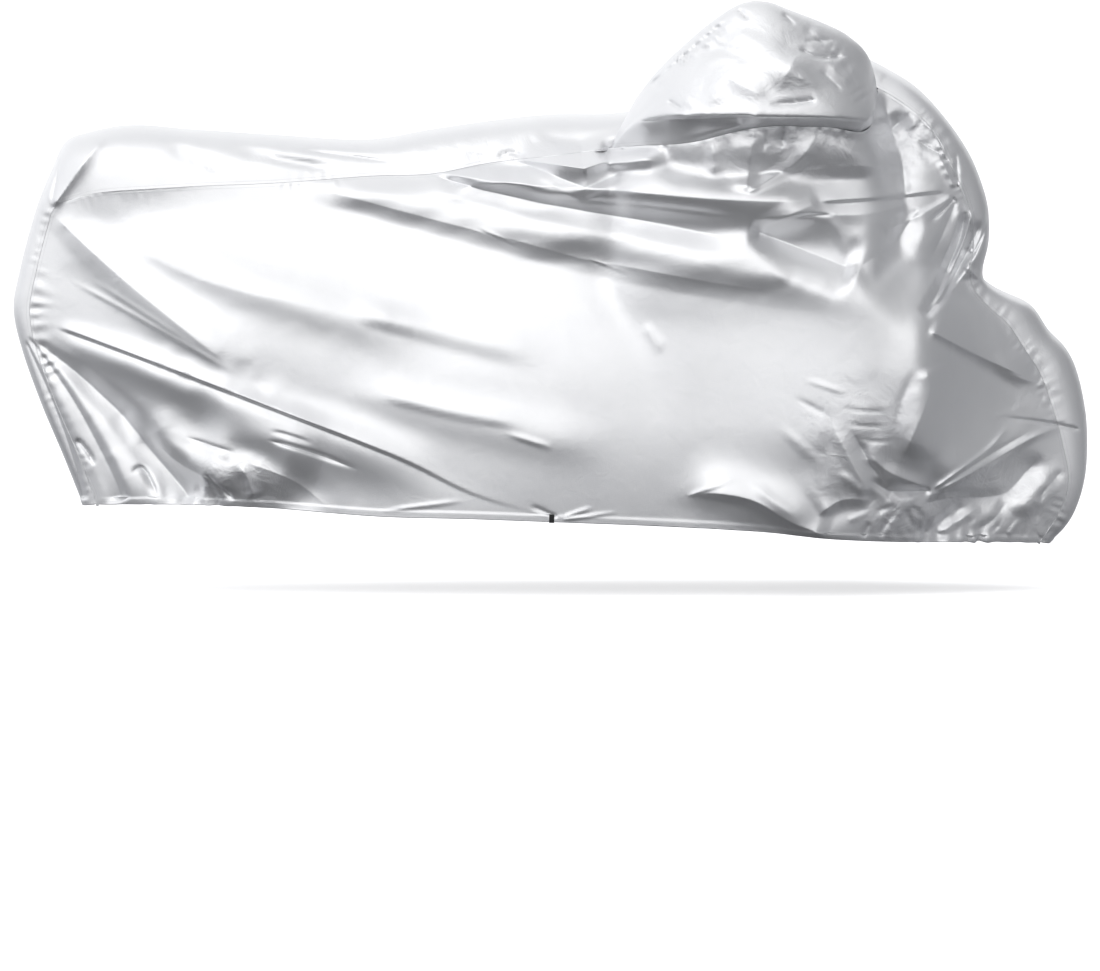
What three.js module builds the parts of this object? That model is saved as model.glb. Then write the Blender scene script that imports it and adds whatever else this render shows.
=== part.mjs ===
// Fitted cover for a scooter, hanging as it does over the vehicle.
// +X is forward, +Y is the vehicle's left, +Z is up, in millimetres.
// The tables give heights above the ground. The origin is under the spine panel, at the saddle.
import * as THREE from "three";
import { mergeVertices } from "three/addons/utils/BufferGeometryUtils.js";

const CLOTH = 2.4;
const HEM_THICK = 4.4;
const HEM_SHARE = 0.018;
const SEAM_GAP = 0.9;
const TIP_GAP = 5;
const SHOULDER = 0.78;
const TOP_HOLD = 2.4;
const SPAN = { x: 1800, z: 760 };
const SWELL_FADE = 190;
const FOLD_FADE = 70;

const SIDE_ROWS = 26;
const REAR_COLUMNS = 30;
const POCKET_COLUMNS = 16;
const COWL_COLUMNS = 5;
const SPINE_CELLS = 6;
const POCKET_CELLS = 13;
const UNDER_CELLS = 2;

// Spine panel, a row for each section from the rear hem over the top to the front hem.
// x, z: centre line; seamX, seamZ: seam to the side panel; half: half width at the seam.
const SPINE = [
  { name: "rear hem", x: -954, z: 170, seamX: -918, seamZ: 174, half: 110 },
  { name: "rear wheel", x: -992, z: 266, seamX: -956, seamZ: 272, half: 108 },
  { name: "plate", x: -1038, z: 376, seamX: -1004, seamZ: 384, half: 105 },
  { name: "tail lower", x: -1078, z: 492, seamX: -1044, seamZ: 500, half: 100 },
  { name: "tail tip", x: -1092, z: 564, seamX: -1052, seamZ: 560, half: 98 },
  { name: "tail light", x: -1080, z: 632, seamX: -1040, seamZ: 628, half: 100 },
  { name: "rack", x: -1054, z: 732, seamX: -1016, seamZ: 720, half: 104 },
  { name: "rack corner", x: -1032, z: 796, seamX: -1000, seamZ: 762, half: 112 },
  { name: "tail top", x: -1008, z: 852, seamX: -964, seamZ: 778, half: 122 },
  { name: "tail crown", x: -986, z: 896, seamX: -928, seamZ: 788, half: 132 },
  { name: "pillion rear", x: -936, z: 914, seamX: -880, seamZ: 794, half: 142 },
  { name: "pillion", x: -856, z: 928, seamX: -816, seamZ: 798, half: 150 },
  { name: "pillion front", x: -740, z: 920, seamX: -710, seamZ: 804, half: 156 },
  { name: "seat", x: -580, z: 909, seamX: -560, seamZ: 810, half: 160 },
  { name: "seat front", x: -380, z: 899, seamX: -370, seamZ: 824, half: 158 },
  { name: "tank rear", x: -260, z: 918, seamX: -254, seamZ: 828, half: 165 },
  { name: "tank", x: -140, z: 936, seamX: -136, seamZ: 850, half: 168 },
  { name: "saddle", x: 0, z: 950, seamX: 6, seamZ: 866, half: 172 },
  { name: "pocket rear", x: 92, z: 950, seamX: 96, seamZ: 880, half: 172 },
  { name: "bars rear", x: 260, z: 974, seamX: 262, seamZ: 930, half: 158 },
  { name: "bars", x: 440, z: 1020, seamX: 440, seamZ: 980, half: 152 },
  { name: "screen", x: 590, z: 1064, seamX: 566, seamZ: 1016, half: 156 },
  { name: "pocket front", x: 654, z: 1038, seamX: 626, seamZ: 996, half: 166 },
  { name: "cowl top", x: 712, z: 1000, seamX: 684, seamZ: 960, half: 178 },
  { name: "cowl", x: 770, z: 936, seamX: 734, seamZ: 912, half: 186 },
  { name: "cowl face", x: 822, z: 856, seamX: 776, seamZ: 832, half: 182 },
  { name: "lamp upper", x: 852, z: 766, seamX: 804, seamZ: 766, half: 174 },
  { name: "lamp lower", x: 854, z: 696, seamX: 816, seamZ: 696, half: 160 },
  { name: "notch", x: 844, z: 622, seamX: 812, seamZ: 612, half: 142 },
  { name: "mudguard rear", x: 896, z: 592, seamX: 850, seamZ: 564, half: 130 },
  { name: "mudguard", x: 940, z: 570, seamX: 886, seamZ: 532, half: 122 },
  { name: "mudguard front", x: 978, z: 516, seamX: 924, seamZ: 476, half: 116 },
  { name: "nose upper", x: 1018, z: 474, seamX: 952, seamZ: 432, half: 114 },
  { name: "nose", x: 1046, z: 386, seamX: 976, seamZ: 366, half: 112 },
  { name: "nose tip", x: 1054, z: 306, seamX: 996, seamZ: 296, half: 112 },
  { name: "nose lower", x: 1048, z: 216, seamX: 1008, seamZ: 212, half: 110 },
  { name: "nose hem", x: 1018, z: 136, seamX: 984, seamZ: 146, half: 106 },
  { name: "front hem", x: 978, z: 94, seamX: 952, seamZ: 98, half: 102 },
];

// Hem of a side panel from rear to front, between the ends of the spine seam.
const HEM = [
  { x: -820, z: 176, out: 142 },
  { x: -720, z: 176, out: 168 },
  { x: -580, z: 172, out: 196 },
  { x: -440, z: 162, out: 218 },
  { x: -340, z: 156, out: 230 },
  { x: -180, z: 153, out: 240 },
  { x: 0, z: 147, out: 242 },
  { x: 180, z: 140, out: 242 },
  { x: 400, z: 128, out: 240 },
  { x: 540, z: 114, out: 226 },
  { x: 680, z: 106, out: 198 },
  { x: 820, z: 102, out: 154 },
];

// Mirror pocket, a row for each section from rear to front between its two ends on the spine seam.
// joint: seam to the side panel; edge: the overhanging lower edge; ridge: the top fold.
const POCKET = [
  { x: 172, jointOut: 268, jointZ: 884, edgeOut: 296, edgeZ: 934, ridgeOut: 230, ridgeZ: 1008 },
  { x: 250, jointOut: 306, jointZ: 888, edgeOut: 372, edgeZ: 938, ridgeOut: 276, ridgeZ: 1090 },
  { x: 336, jointOut: 326, jointZ: 908, edgeOut: 412, edgeZ: 938, ridgeOut: 306, ridgeZ: 1160 },
  { x: 386, jointOut: 334, jointZ: 918, edgeOut: 422, edgeZ: 937, ridgeOut: 312, ridgeZ: 1172 },
  { x: 456, jointOut: 338, jointZ: 920, edgeOut: 420, edgeZ: 936, ridgeOut: 306, ridgeZ: 1146 },
  { x: 536, jointOut: 332, jointZ: 916, edgeOut: 404, edgeZ: 935, ridgeOut: 286, ridgeZ: 1112 },
  { x: 592, jointOut: 306, jointZ: 910, edgeOut: 360, edgeZ: 933, ridgeOut: 252, ridgeZ: 1074 },
];

// Swells and hollows of the side under the cloth; reaches run back, forward, up and down.
const SWELLS = [
  { name: "fairing corner", x: 706, z: 560, out: 112, back: 290, front: 120, up: 150, down: 330 },
  { name: "lower fairing", x: 560, z: 280, out: 44, back: 240, front: 150, up: 170, down: 340 },
  { name: "foot boards", x: 40, z: 430, out: 56, back: 400, front: 420, up: 250, down: 440 },
  { name: "rear side", x: -660, z: 520, out: 44, back: 200, front: 260, up: 190, down: 260 },
  { name: "under the bars", x: 440, z: 828, out: -50, back: 200, front: 190, up: 30, down: 36 },
  { name: "below the cowl", x: 552, z: 716, out: -16, back: 80, front: 90, up: 56, down: 56 },
];

// Rows of a table as objects with named columns.
function table(columns, rows) {
  return rows.map((cells) => Object.fromEntries(columns.map((column, k) => [column, cells[k]])));
}

// Folds of a side panel, each a ridge (or a trough, where negative) between two places [x, z].
// bow: sag of its middle; wide: width at each end; upper: share of it above the line; lift: right, left.
const FOLDS = table(["name", "from", "to", "bow", "wide", "upper", "lift"], [
  ["bar pleat", [-330, 838], [600, 796], -20, [80, 150], 0.42, [34, 28]],
  ["bar pleat rear", [-290, 834], [260, 786], -6, [50, 130], 0.42, [26, 20]],
  ["long pleat", [-600, 846], [640, 596], -14, [96, 140], 0.66, [26, 28]],
  ["tail stay", [-1030, 530], [-220, 240], 0, [70, 170], 0.36, [22, 18]],
  ["tail rib", [-1050, 512], [-822, 140], 0, [40, 130], 0.5, [18, 20]],
  ["tail trough", [-1040, 514], [-660, 140], 0, [40, 130], 0.5, [-18, -16]],
  ["wheel facet", [-850, 350], [-590, 160], 6, [80, 110], 0.6, [18, 12]],
  ["wheel pocket", [-650, 300], [-470, 170], 14, [80, 100], 0.5, [-24, -14]],
  ["upper stay", [-1016, 748], [-590, 416], 0, [60, 150], 0.42, [16, 13]],
  ["rear swag", [-900, 722], [-230, 500], -14, [90, 170], 0.55, [14, 18]],
  ["middle swag", [-440, 416], [110, 292], -10, [90, 140], 0.5, [9, 12]],
  ["fairing ridge", [716, 590], [690, 230], 0, [130, 120], 0.4, [26, 28]],
  ["nose shelf", [716, 566], [976, 412], 6, [80, 90], 0.5, [16, 12]],
  ["nose tuck", [720, 220], [980, 322], 10, [80, 80], 0.55, [14, 10]],
  ["nose trough", [690, 96], [990, 276], 14, [100, 90], 0.5, [-24, -18]],
  ["wheel crumple", [590, 290], [760, 200], 0, [80, 80], 0.55, [-24, -16]],
  ["hem crumple", [470, 160], [660, 196], 8, [80, 80], 0.5, [-18, -12]],
  ["hem flap", [230, 224], [590, 106], 10, [90, 110], 0.6, [18, 14]],
  ["cowl pleat", [786, 790], [706, 574], 0, [50, 84], 0.5, [18, 13]],
  ["cowl trough", [800, 790], [760, 580], 0, [50, 70], 0.5, [-16, -10]],
  ["knee rear", [-130, 880], [70, 806], 0, [80, 90], 0.5, [-24, -14]],
  ["knee front", [40, 806], [230, 880], 0, [90, 90], 0.5, [-26, -16]],
]);

// Webbing tab folded over the hem half way along each side.
const TAB = { x: -3, width: 10, rise: 15, inside: 20, thick: 1.6, play: 0.4 };

const clamp = (value, low, high) => Math.min(high, Math.max(low, value));
const ease = (value) => {
  const t = clamp(value, 0, 1);
  return t * t * (3 - 2 * t);
};
const row = (name) => SPINE.findIndex((section) => section.name === name);
const through = (points) => new THREE.CatmullRomCurve3(points, false, "centripetal");

const centreLine = through(SPINE.map(({ x, z }) => new THREE.Vector3(x, 0, z)));
const seamLine = through(SPINE.map(({ seamX, seamZ, half }) => new THREE.Vector3(seamX, half, seamZ)));
const hemLine = through([
  new THREE.Vector3(SPINE[0].seamX, SPINE[0].half, SPINE[0].seamZ),
  ...HEM.map(({ x, z, out }) => new THREE.Vector3(x, out, z)),
  new THREE.Vector3(SPINE.at(-1).seamX, SPINE.at(-1).half, SPINE.at(-1).seamZ),
]);

// Places along a curve, at the given shares of the length between two of its rows.
function places(curve, from, to, shares) {
  const last = curve.points.length - 1;
  const steps = 600;
  const at = (k) => (from + ((to - from) * k) / steps) / last;
  const run = [0];
  for (let k = 1; k <= steps; k++) {
    run.push(run[k - 1] + curve.getPoint(at(k)).distanceTo(curve.getPoint(at(k - 1))));
  }
  return shares.map((share) => {
    const target = share * run[steps];
    const k = clamp(run.findIndex((length) => length >= target), 1, steps);
    const part = (target - run[k - 1]) / (run[k] - run[k - 1]);
    return at(k - 1 + clamp(part, 0, 1));
  });
}

const even = (count) => Array.from({ length: count + 1 }, (_, k) => k / count);
const rising = [0, ...even(SIDE_ROWS - 1).map((share) => HEM_SHARE + (1 - HEM_SHARE) * share)];
const falling = rising.map((share) => 1 - share).reverse();

// Stations of the spine: up the tail, along the top in three stretches, and down the front.
const stretches = [
  places(seamLine, 0, row("tail top"), rising),
  places(seamLine, row("tail top"), row("pocket rear"), even(REAR_COLUMNS)),
  places(seamLine, row("pocket rear"), row("pocket front"), even(POCKET_COLUMNS)),
  places(seamLine, row("pocket front"), row("cowl"), even(COWL_COLUMNS)),
  places(seamLine, row("cowl"), SPINE.length - 1, falling),
];
const stations = stretches.flatMap((stretch, k) => (k === 0 ? stretch : stretch.slice(1)));
const columns = REAR_COLUMNS + POCKET_COLUMNS + COWL_COLUMNS;
const topStart = SIDE_ROWS;
const pocketStart = topStart + REAR_COLUMNS;
const pocketEnd = pocketStart + POCKET_COLUMNS;
const topEnd = topStart + columns;
const seam = stations.map((t) => seamLine.getPoint(t));

// A section of a mirror pocket at x, from its joint by its edge and ridge to the spine seam.
const pocketCurves = ["joint", "edge", "ridge"].map((part) => {
  const ends = [seam[pocketStart], seam[pocketEnd]];
  const inner = POCKET.map((p) => new THREE.Vector3(p.x, p[`${part}Out`], p[`${part}Z`]));
  return through([ends[0], ...inner, ends[1]]);
});

function pocketSection(column) {
  const share = column / POCKET_COLUMNS;
  const [joint, edge, ridge] = pocketCurves.map((curve) => curve.getPointAt(share));
  return { joint, edge, ridge, seam: seam[pocketStart + column] };
}

const joints = even(POCKET_COLUMNS).map((share) => pocketSection(Math.round(share * POCKET_COLUMNS)).joint);

// How far a fold lifts the cloth at (x, z), as a share of its lift.
function rise(fold, x, z) {
  const [x1, z1] = fold.from;
  const run = new THREE.Vector2(fold.to[0] - x1, fold.to[1] - z1);
  const length = run.length();
  run.divideScalar(length);
  const along = ((x - x1) * run.x + (z - z1) * run.y) / length;
  if (along <= 0 || along >= 1) return 0;
  const across = (z - z1) * run.x - (x - x1) * run.y - fold.bow * 4 * along * (1 - along);
  const width = fold.wide[0] + (fold.wide[1] - fold.wide[0]) * along;
  const reach = across > 0 ? width * fold.upper : width * (1 - fold.upper);
  const fade = ease(Math.min(along, 1 - along) / 0.22);
  return fade * (1 - ease(Math.abs(across) / reach));
}

// Evens out a field of lifts between each place and its neighbours.
function settle(field) {
  const at = (i, j) => field[clamp(i, 0, field.length - 1)][clamp(j, 0, field[0].length - 1)];
  return field.map((line, i) =>
    line.map((value, j) => value / 2 + (at(i - 1, j) + at(i + 1, j) + at(i, j - 1) + at(i, j + 1)) / 8),
  );
}

function swell(bump, x, z) {
  const across = (x - bump.x) / (x < bump.x ? bump.back : bump.front);
  const high = (z - bump.z) / (z < bump.z ? bump.down : bump.up);
  return bump.out * Math.exp(-across * across - high * high);
}

// Grid of a side panel: a patch between its seams and its hem, swelled and folded outwards.
function sideGrid(side) {
  const hem = places(hemLine, 0, hemLine.points.length - 1, even(columns)).map((t) => hemLine.getPoint(t));
  const rear = seam.slice(0, topStart + 1);
  const front = seam.slice(topEnd).reverse();
  const top = seam.slice(topStart, topEnd + 1);
  joints.forEach((point, k) => {
    top[REAR_COLUMNS + k] = point;
  });
  const patch = (i, j, v) => {
    const u = i / columns;
    const point = new THREE.Vector3();
    point.addScaledVector(hem[i], 1 - v).addScaledVector(top[i], v);
    point.addScaledVector(rear[j], 1 - u).addScaledVector(front[j], u);
    point.addScaledVector(hem[0], -(1 - u) * (1 - v)).addScaledVector(hem[columns], -u * (1 - v));
    return point.addScaledVector(top[0], -(1 - u) * v).addScaledVector(top[columns], -u * v);
  };
  const grid = hem.map((_, i) =>
    rising.map((v, j) => {
      const point = patch(i, j, v);
      point.y = patch(i, j, v ** TOP_HOLD).y;
      return point;
    }),
  );
  const hand = side === "right" ? 0 : 1;
  const folds = grid.map((line) =>
    line.map(({ x, z }) => FOLDS.reduce((sum, fold) => sum + fold.lift[hand] * rise(fold, x, z), 0)),
  );
  settle(folds).forEach((line, i) =>
    line.forEach((fold, j) => {
      const point = grid[i][j];
      const u = i / columns;
      const toSeam = Math.min(u * SPAN.x, (1 - u) * SPAN.x, (1 - rising[j]) * SPAN.z);
      const swells = SWELLS.reduce((sum, bump) => sum + swell(bump, point.x, point.z), 0);
      point.y += swells * ease(toSeam / SWELL_FADE) + fold * ease(toSeam / FOLD_FADE);
    }),
  );
  return grid;
}

// Grid of a mirror pocket: under its lower edge in the first cells, then over the ridge to the spine seam.
function pocketGrid() {
  return even(POCKET_COLUMNS).map((_, column) => {
    const { joint, edge, ridge, seam: end } = pocketSection(column);
    const cheek = edge.clone().lerp(ridge, 0.5);
    cheek.y += 0.1 * edge.distanceTo(ridge);
    const inner = ridge.clone().lerp(end, 0.35);
    inner.z += 0.08 * ridge.distanceTo(end);
    if (column === 0 || column === POCKET_COLUMNS) {
      const next = pocketSection(Math.abs(column - 1));
      const inward = next.joint.clone().lerp(next.seam, 0.5).sub(end).normalize();
      const tip = end.clone().addScaledVector(inward, TIP_GAP);
      return even(POCKET_CELLS).map(() => tip.clone());
    }
    const under = even(UNDER_CELLS).map((share) => joint.clone().lerp(edge, share));
    const over = through([edge, cheek, ridge, inner, end]);
    return [...under, ...even(POCKET_CELLS - UNDER_CELLS).slice(1).map((share) => over.getPointAt(share))];
  });
}

// Grid of the spine panel, each station a rounded section from the right seam to the left one.
function spineGrid() {
  return stations.map((t, k) => {
    const centre = centreLine.getPoint(t);
    return even(SPINE_CELLS).map((share) => {
      const angle = (share * 2 - 1) * (Math.PI / 2);
      const across = Math.sign(angle) * Math.abs(Math.sin(angle)) ** SHOULDER;
      const drop = 1 - Math.max(0, Math.cos(angle)) ** SHOULDER;
      const point = centre.clone().lerp(seam[k], drop);
      point.y = seam[k].y * across;
      return point;
    });
  });
}

// Outward normals of a grid; turn is 1 or -1 for the way its rows run.
function normalsOf(grid, turn) {
  const far = grid.length - 1;
  return grid.map((line, i) =>
    line.map((point, j) => {
      const ahead = grid[Math.min(i + 1, far)][j].clone().sub(grid[Math.max(i - 1, 0)][j]);
      const beside = line[Math.min(j + 1, line.length - 1)].clone().sub(line[Math.max(j - 1, 0)]);
      return ahead.cross(beside).multiplyScalar(turn).normalize();
    }),
  );
}

// A closed sheet: the grid, its offset by the thickness, and the rim between them.
function sheet(grid, normals, turn, thickness) {
  const wide = grid[0].length;
  const count = grid.length * wide;
  const outer = grid.flat();
  const inner = outer.map((point, k) => {
    const normal = normals[Math.floor(k / wide)][k % wide];
    return point.clone().addScaledVector(normal, -thickness(k % wide));
  });
  const index = [];
  const face = (a, b, c) => (turn > 0 ? index.push(a, b, c) : index.push(a, c, b));
  const quad = (a, b, c, d, flip) => {
    if (flip) {
      face(a, b, d);
      face(b, c, d);
    } else {
      face(a, b, c);
      face(a, c, d);
    }
  };
  for (let i = 0; i + 1 < grid.length; i++) {
    for (let j = 0; j + 1 < wide; j++) {
      const [a, b, c, d] = [i * wide + j, (i + 1) * wide + j, (i + 1) * wide + j + 1, i * wide + j + 1];
      const flip = outer[b].distanceTo(outer[d]) < outer[a].distanceTo(outer[c]);
      quad(a, b, c, d, flip);
      quad(a + count, d + count, c + count, b + count, flip);
    }
  }
  const low = Array.from({ length: grid.length }, (_, i) => i * wide);
  const ends = Array.from({ length: wide }, (_, j) => (grid.length - 1) * wide + j);
  const high = low.map((k) => k + wide - 1).reverse();
  const start = Array.from({ length: wide }, (_, j) => wide - 1 - j);
  for (const side of [low, ends, high, start]) {
    for (let k = 0; k + 1 < side.length; k++) {
      quad(side[k], side[k] + count, side[k + 1] + count, side[k + 1], false);
    }
  }
  const geometry = new THREE.BufferGeometry();
  const places = [...outer, ...inner].flatMap((point) => point.toArray());
  geometry.setAttribute("position", new THREE.Float32BufferAttribute(places, 3));
  geometry.setIndex(index);
  return tidy(geometry);
}

// Welds meeting corners and drops the faces that have closed up.
function tidy(geometry) {
  const welded = mergeVertices(geometry, 1e-3);
  const kept = [];
  const { array } = welded.index;
  for (let k = 0; k < array.length; k += 3) {
    const [a, b, c] = array.slice(k, k + 3);
    if (a !== b && b !== c && c !== a) kept.push(a, b, c);
  }
  welded.setIndex(kept);
  welded.computeVertexNormals();
  return welded;
}

// Draws a line of points back from its seam, towards the next line of its own grid.
function drawBack(points, inward) {
  points.forEach((point, k) => {
    const step = inward[k].clone().sub(point);
    if (step.length() > 1e-6) point.addScaledVector(step.normalize(), SEAM_GAP / 2);
  });
}

const FINISH = {
  silver: { color: 0xc9ccd2, metalness: 0.55, roughness: 0.42 },
  shade: { color: 0xb9bdc4, metalness: 0.55, roughness: 0.46 },
  webbing: { color: 0x1b1c1e, metalness: 0, roughness: 0.85 },
};

function piece(name, geometry, finish, mirrored) {
  const mesh = new THREE.Mesh(geometry, new THREE.MeshStandardMaterial(FINISH[finish]));
  mesh.name = name;
  if (mirrored) mesh.scale.y = -1;
  return mesh;
}

// Gives two panels the same normal along the seam that they share.
function share(first, second) {
  first.forEach((normal, k) => {
    normal.add(second[k]).normalize();
    second[k].copy(normal);
  });
}

const flipped = (v) => new THREE.Vector3(v.x, -v.y, v.z);

function webbingTab(grid, normals) {
  const i = grid.findIndex((line) => line[0].x > TAB.x);
  const low = grid[i - 1][0].clone().lerp(grid[i][0], 0.5);
  const up = grid[i - 1][1].clone().lerp(grid[i][1], 0.5).sub(low).normalize();
  const along = grid[i][0].clone().sub(grid[i - 1][0]).normalize();
  const out = up.clone().cross(along).normalize();
  up.crossVectors(along, out);
  const front = TAB.play;
  const back = -HEM_THICK - TAB.play;
  const profile = new THREE.Shape([
    new THREE.Vector2(front, TAB.rise),
    new THREE.Vector2(front, -TAB.play),
    new THREE.Vector2(back, -TAB.play),
    new THREE.Vector2(back, TAB.inside),
    new THREE.Vector2(back - TAB.thick, TAB.inside),
    new THREE.Vector2(back - TAB.thick, -TAB.play - TAB.thick),
    new THREE.Vector2(front + TAB.thick, -TAB.play - TAB.thick),
    new THREE.Vector2(front + TAB.thick, TAB.rise),
  ]);
  const geometry = new THREE.ExtrudeGeometry(profile, { depth: TAB.width, bevelEnabled: false });
  geometry.translate(0, 0, -TAB.width / 2);
  geometry.applyMatrix4(new THREE.Matrix4().makeBasis(out, up, along).setPosition(low));
  geometry.deleteAttribute("uv");
  geometry.deleteAttribute("normal");
  return tidy(geometry);
}

const spine = spineGrid();
const spineNormals = normalsOf(spine, 1);
const cover = new THREE.Group();

for (const side of ["right", "left"]) {
  const panel = sideGrid(side);
  const pocket = pocketGrid();
  const panelNormals = normalsOf(panel, -1);
  const pocketNormals = normalsOf(pocket, -1);
  const edge = side === "left" ? SPINE_CELLS : 0;
  const spineEdge = spineNormals.map((line) => (side === "left" ? line[edge].clone() : flipped(line[edge])));

  for (const column of [0, POCKET_COLUMNS]) {
    pocketNormals[column].forEach((normal) => normal.copy(panelNormals[REAR_COLUMNS + column].at(-1)));
  }
  const tops = panelNormals.map((line) => line.at(-1));
  share(tops.slice(REAR_COLUMNS, REAR_COLUMNS + POCKET_COLUMNS + 1), pocketNormals.map((line) => line[0]));
  share(spineEdge.slice(0, topStart + 1), panelNormals[0]);
  share(spineEdge.slice(topStart, pocketStart + 1), tops.slice(0, REAR_COLUMNS + 1));
  share(spineEdge.slice(pocketStart + 1, pocketEnd), pocketNormals.slice(1, -1).map((line) => line.at(-1)));
  share(spineEdge.slice(pocketEnd, topEnd + 1), tops.slice(columns - COWL_COLUMNS));
  share(spineEdge.slice(topEnd).reverse(), panelNormals[columns]);
  for (const column of [0, POCKET_COLUMNS]) {
    pocketNormals[column].forEach((normal) => normal.copy(spineEdge[pocketStart + column]));
  }
  spineEdge.forEach((normal, k) => spineNormals[k][edge].copy(side === "left" ? normal : flipped(normal)));

  const hemmed = (j) => (j < 2 ? HEM_THICK : CLOTH);
  const mirrored = side === "right";
  cover.add(piece(`hem_tab_${side}`, webbingTab(panel, panelNormals), "webbing", mirrored));
  drawBack(panel[0], panel[1]);
  drawBack(panel[columns], panel[columns - 1]);
  drawBack(panel.map((line) => line.at(-1)), panel.map((line) => line.at(-2)));
  drawBack(pocket.map((line) => line[0]), pocket.map((line) => line[1]));
  drawBack(pocket.map((line) => line.at(-1)), pocket.map((line) => line.at(-2)));
  cover.add(piece(`side_panel_${side}`, sheet(panel, panelNormals, -1, hemmed), "silver", mirrored));
  cover.add(piece(`mirror_pocket_${side}`, sheet(pocket, pocketNormals, -1, () => CLOTH), "shade", mirrored));
}

for (const edge of [0, SPINE_CELLS]) {
  const next = edge === 0 ? 1 : SPINE_CELLS - 1;
  drawBack(spine.map((line) => line[edge]), spine.map((line) => line[next]));
}
cover.add(piece("spine_panel", sheet(spine, spineNormals, 1, () => CLOTH), "shade", false));

const saddle = SPINE[row("saddle")];
cover.position.set(-saddle.x, 0, CLOTH - saddle.z);
cover.updateMatrixWorld(true);

export default cover;
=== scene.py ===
"""Fitted scooter cover: cloth panels with creases, seams and a hem, and webbing tabs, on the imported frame."""

import logging
import math
from dataclasses import dataclass, replace
from enum import Enum
from typing import Any, Callable, Sequence

import bmesh
import bpy
import numpy as np
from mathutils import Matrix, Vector, kdtree
from mathutils.bvhtree import BVHTree

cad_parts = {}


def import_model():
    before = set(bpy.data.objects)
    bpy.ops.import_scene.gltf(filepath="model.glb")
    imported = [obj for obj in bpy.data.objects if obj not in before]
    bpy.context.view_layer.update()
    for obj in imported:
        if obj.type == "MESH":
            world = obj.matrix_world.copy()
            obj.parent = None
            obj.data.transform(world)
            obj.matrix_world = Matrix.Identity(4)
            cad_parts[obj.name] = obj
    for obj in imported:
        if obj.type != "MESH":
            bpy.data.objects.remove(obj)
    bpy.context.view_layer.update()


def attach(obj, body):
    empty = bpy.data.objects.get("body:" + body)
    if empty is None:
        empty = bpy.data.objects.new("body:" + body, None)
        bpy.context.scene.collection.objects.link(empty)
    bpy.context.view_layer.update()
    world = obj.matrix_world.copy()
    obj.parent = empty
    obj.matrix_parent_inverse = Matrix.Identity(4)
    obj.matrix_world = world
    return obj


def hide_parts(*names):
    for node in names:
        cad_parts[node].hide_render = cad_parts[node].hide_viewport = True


Stops = Sequence[tuple[float, tuple[float, float, float]]]
Pairs = Sequence[tuple[float, float]]

LOG = logging.getLogger("scooter_cover")
MM = 0.001
SADDLE_HEIGHT = 947.6
WELD = 2e-5
TINY = 1e-9
CHAIN_GAP = 1.0
FACET_SHARE = 0.7
PANELS = ("side_panel_right", "side_panel_left", "spine_panel", "mirror_pocket_right", "mirror_pocket_left")


class Edge(Enum):
    """What a panel's border meets."""

    SPINE = "spine_panel"
    SIDE = "side_panel"
    POCKET = "mirror_pocket"
    HEM = "hem"


def ease(value: np.ndarray) -> np.ndarray:
    """Smooth step from 0 to 1.

    Args:
        value: Numbers of any size.

    Returns:
        The eased numbers.
    """
    t = np.clip(value, 0.0, 1.0)
    return t * t * (3.0 - 2.0 * t)


def waves(turn: np.ndarray, parts: Pairs) -> np.ndarray:
    """Adds up sine waves along a turn, each with its rate and its phase."""
    return sum(np.sin(turn * rate + phase) for rate, phase in parts)


def tree_of(places: Sequence[Any]) -> kdtree.KDTree:
    """Makes places ready to be searched for the nearest one.

    Args:
        places: The places.

    Returns:
        The tree, which numbers them in order.
    """
    tree = kdtree.KDTree(len(places))
    for number, place in enumerate(places):
        tree.insert(place, number)
    tree.balance()
    return tree


def opened(data: bpy.types.Mesh) -> bmesh.types.BMesh:
    """Opens a mesh to be worked on.

    Args:
        data: The mesh.

    Returns:
        The open mesh.
    """
    mesh = bmesh.new()
    mesh.from_mesh(data)
    return mesh


def read(items: Any, name: str, width: int, kind: type = np.float64) -> np.ndarray:
    """Reads one property of all the items of a mesh.

    Args:
        items: The mesh's vertices, faces or corners.
        name: The property.
        width: How many numbers each item has.
        kind: The numbers' type.

    Returns:
        The numbers, a row for each item.
    """
    found = np.empty(len(items) * width, kind)
    items.foreach_get(name, found)
    return found.reshape(-1, width)


def placed(name: str, mesh: bmesh.types.BMesh) -> bpy.types.Object:
    """Makes an object of a finished mesh, which is freed.

    Args:
        name: The object's name.
        mesh: The mesh.

    Returns:
        The object.
    """
    data = bpy.data.meshes.new(name)
    mesh.to_mesh(data)
    mesh.free()
    made = bpy.data.objects.new(name, data)
    bpy.context.scene.collection.objects.link(made)
    return made


def smooth(made: bpy.types.Object) -> None:
    """Shades an object's faces smoothly."""
    made.data.polygons.foreach_set("use_smooth", np.ones(len(made.data.polygons), bool))


class Profile(Enum):
    """Section of a fold."""

    SOFT = "soft"
    SHARP = "sharp"
    FACET = "facet"
    LEDGE = "ledge"

    def section(self, share: np.ndarray) -> np.ndarray:
        """Finds the height of the section, from 1 on the line to 0 at its foot.

        Args:
            share: Distances from the line as shares of the way to the foot.

        Returns:
            The heights.
        """
        if self is Profile.SOFT:
            return 1.0 - ease(share)
        if self is Profile.FACET:
            straight = 1.0 - 2.0 * share / (1.0 + FACET_SHARE)
            return np.where(share < FACET_SHARE, straight, (1.0 - share) ** 2 / (1.0 - FACET_SHARE**2))
        return (1.0 - share) ** 2


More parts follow.
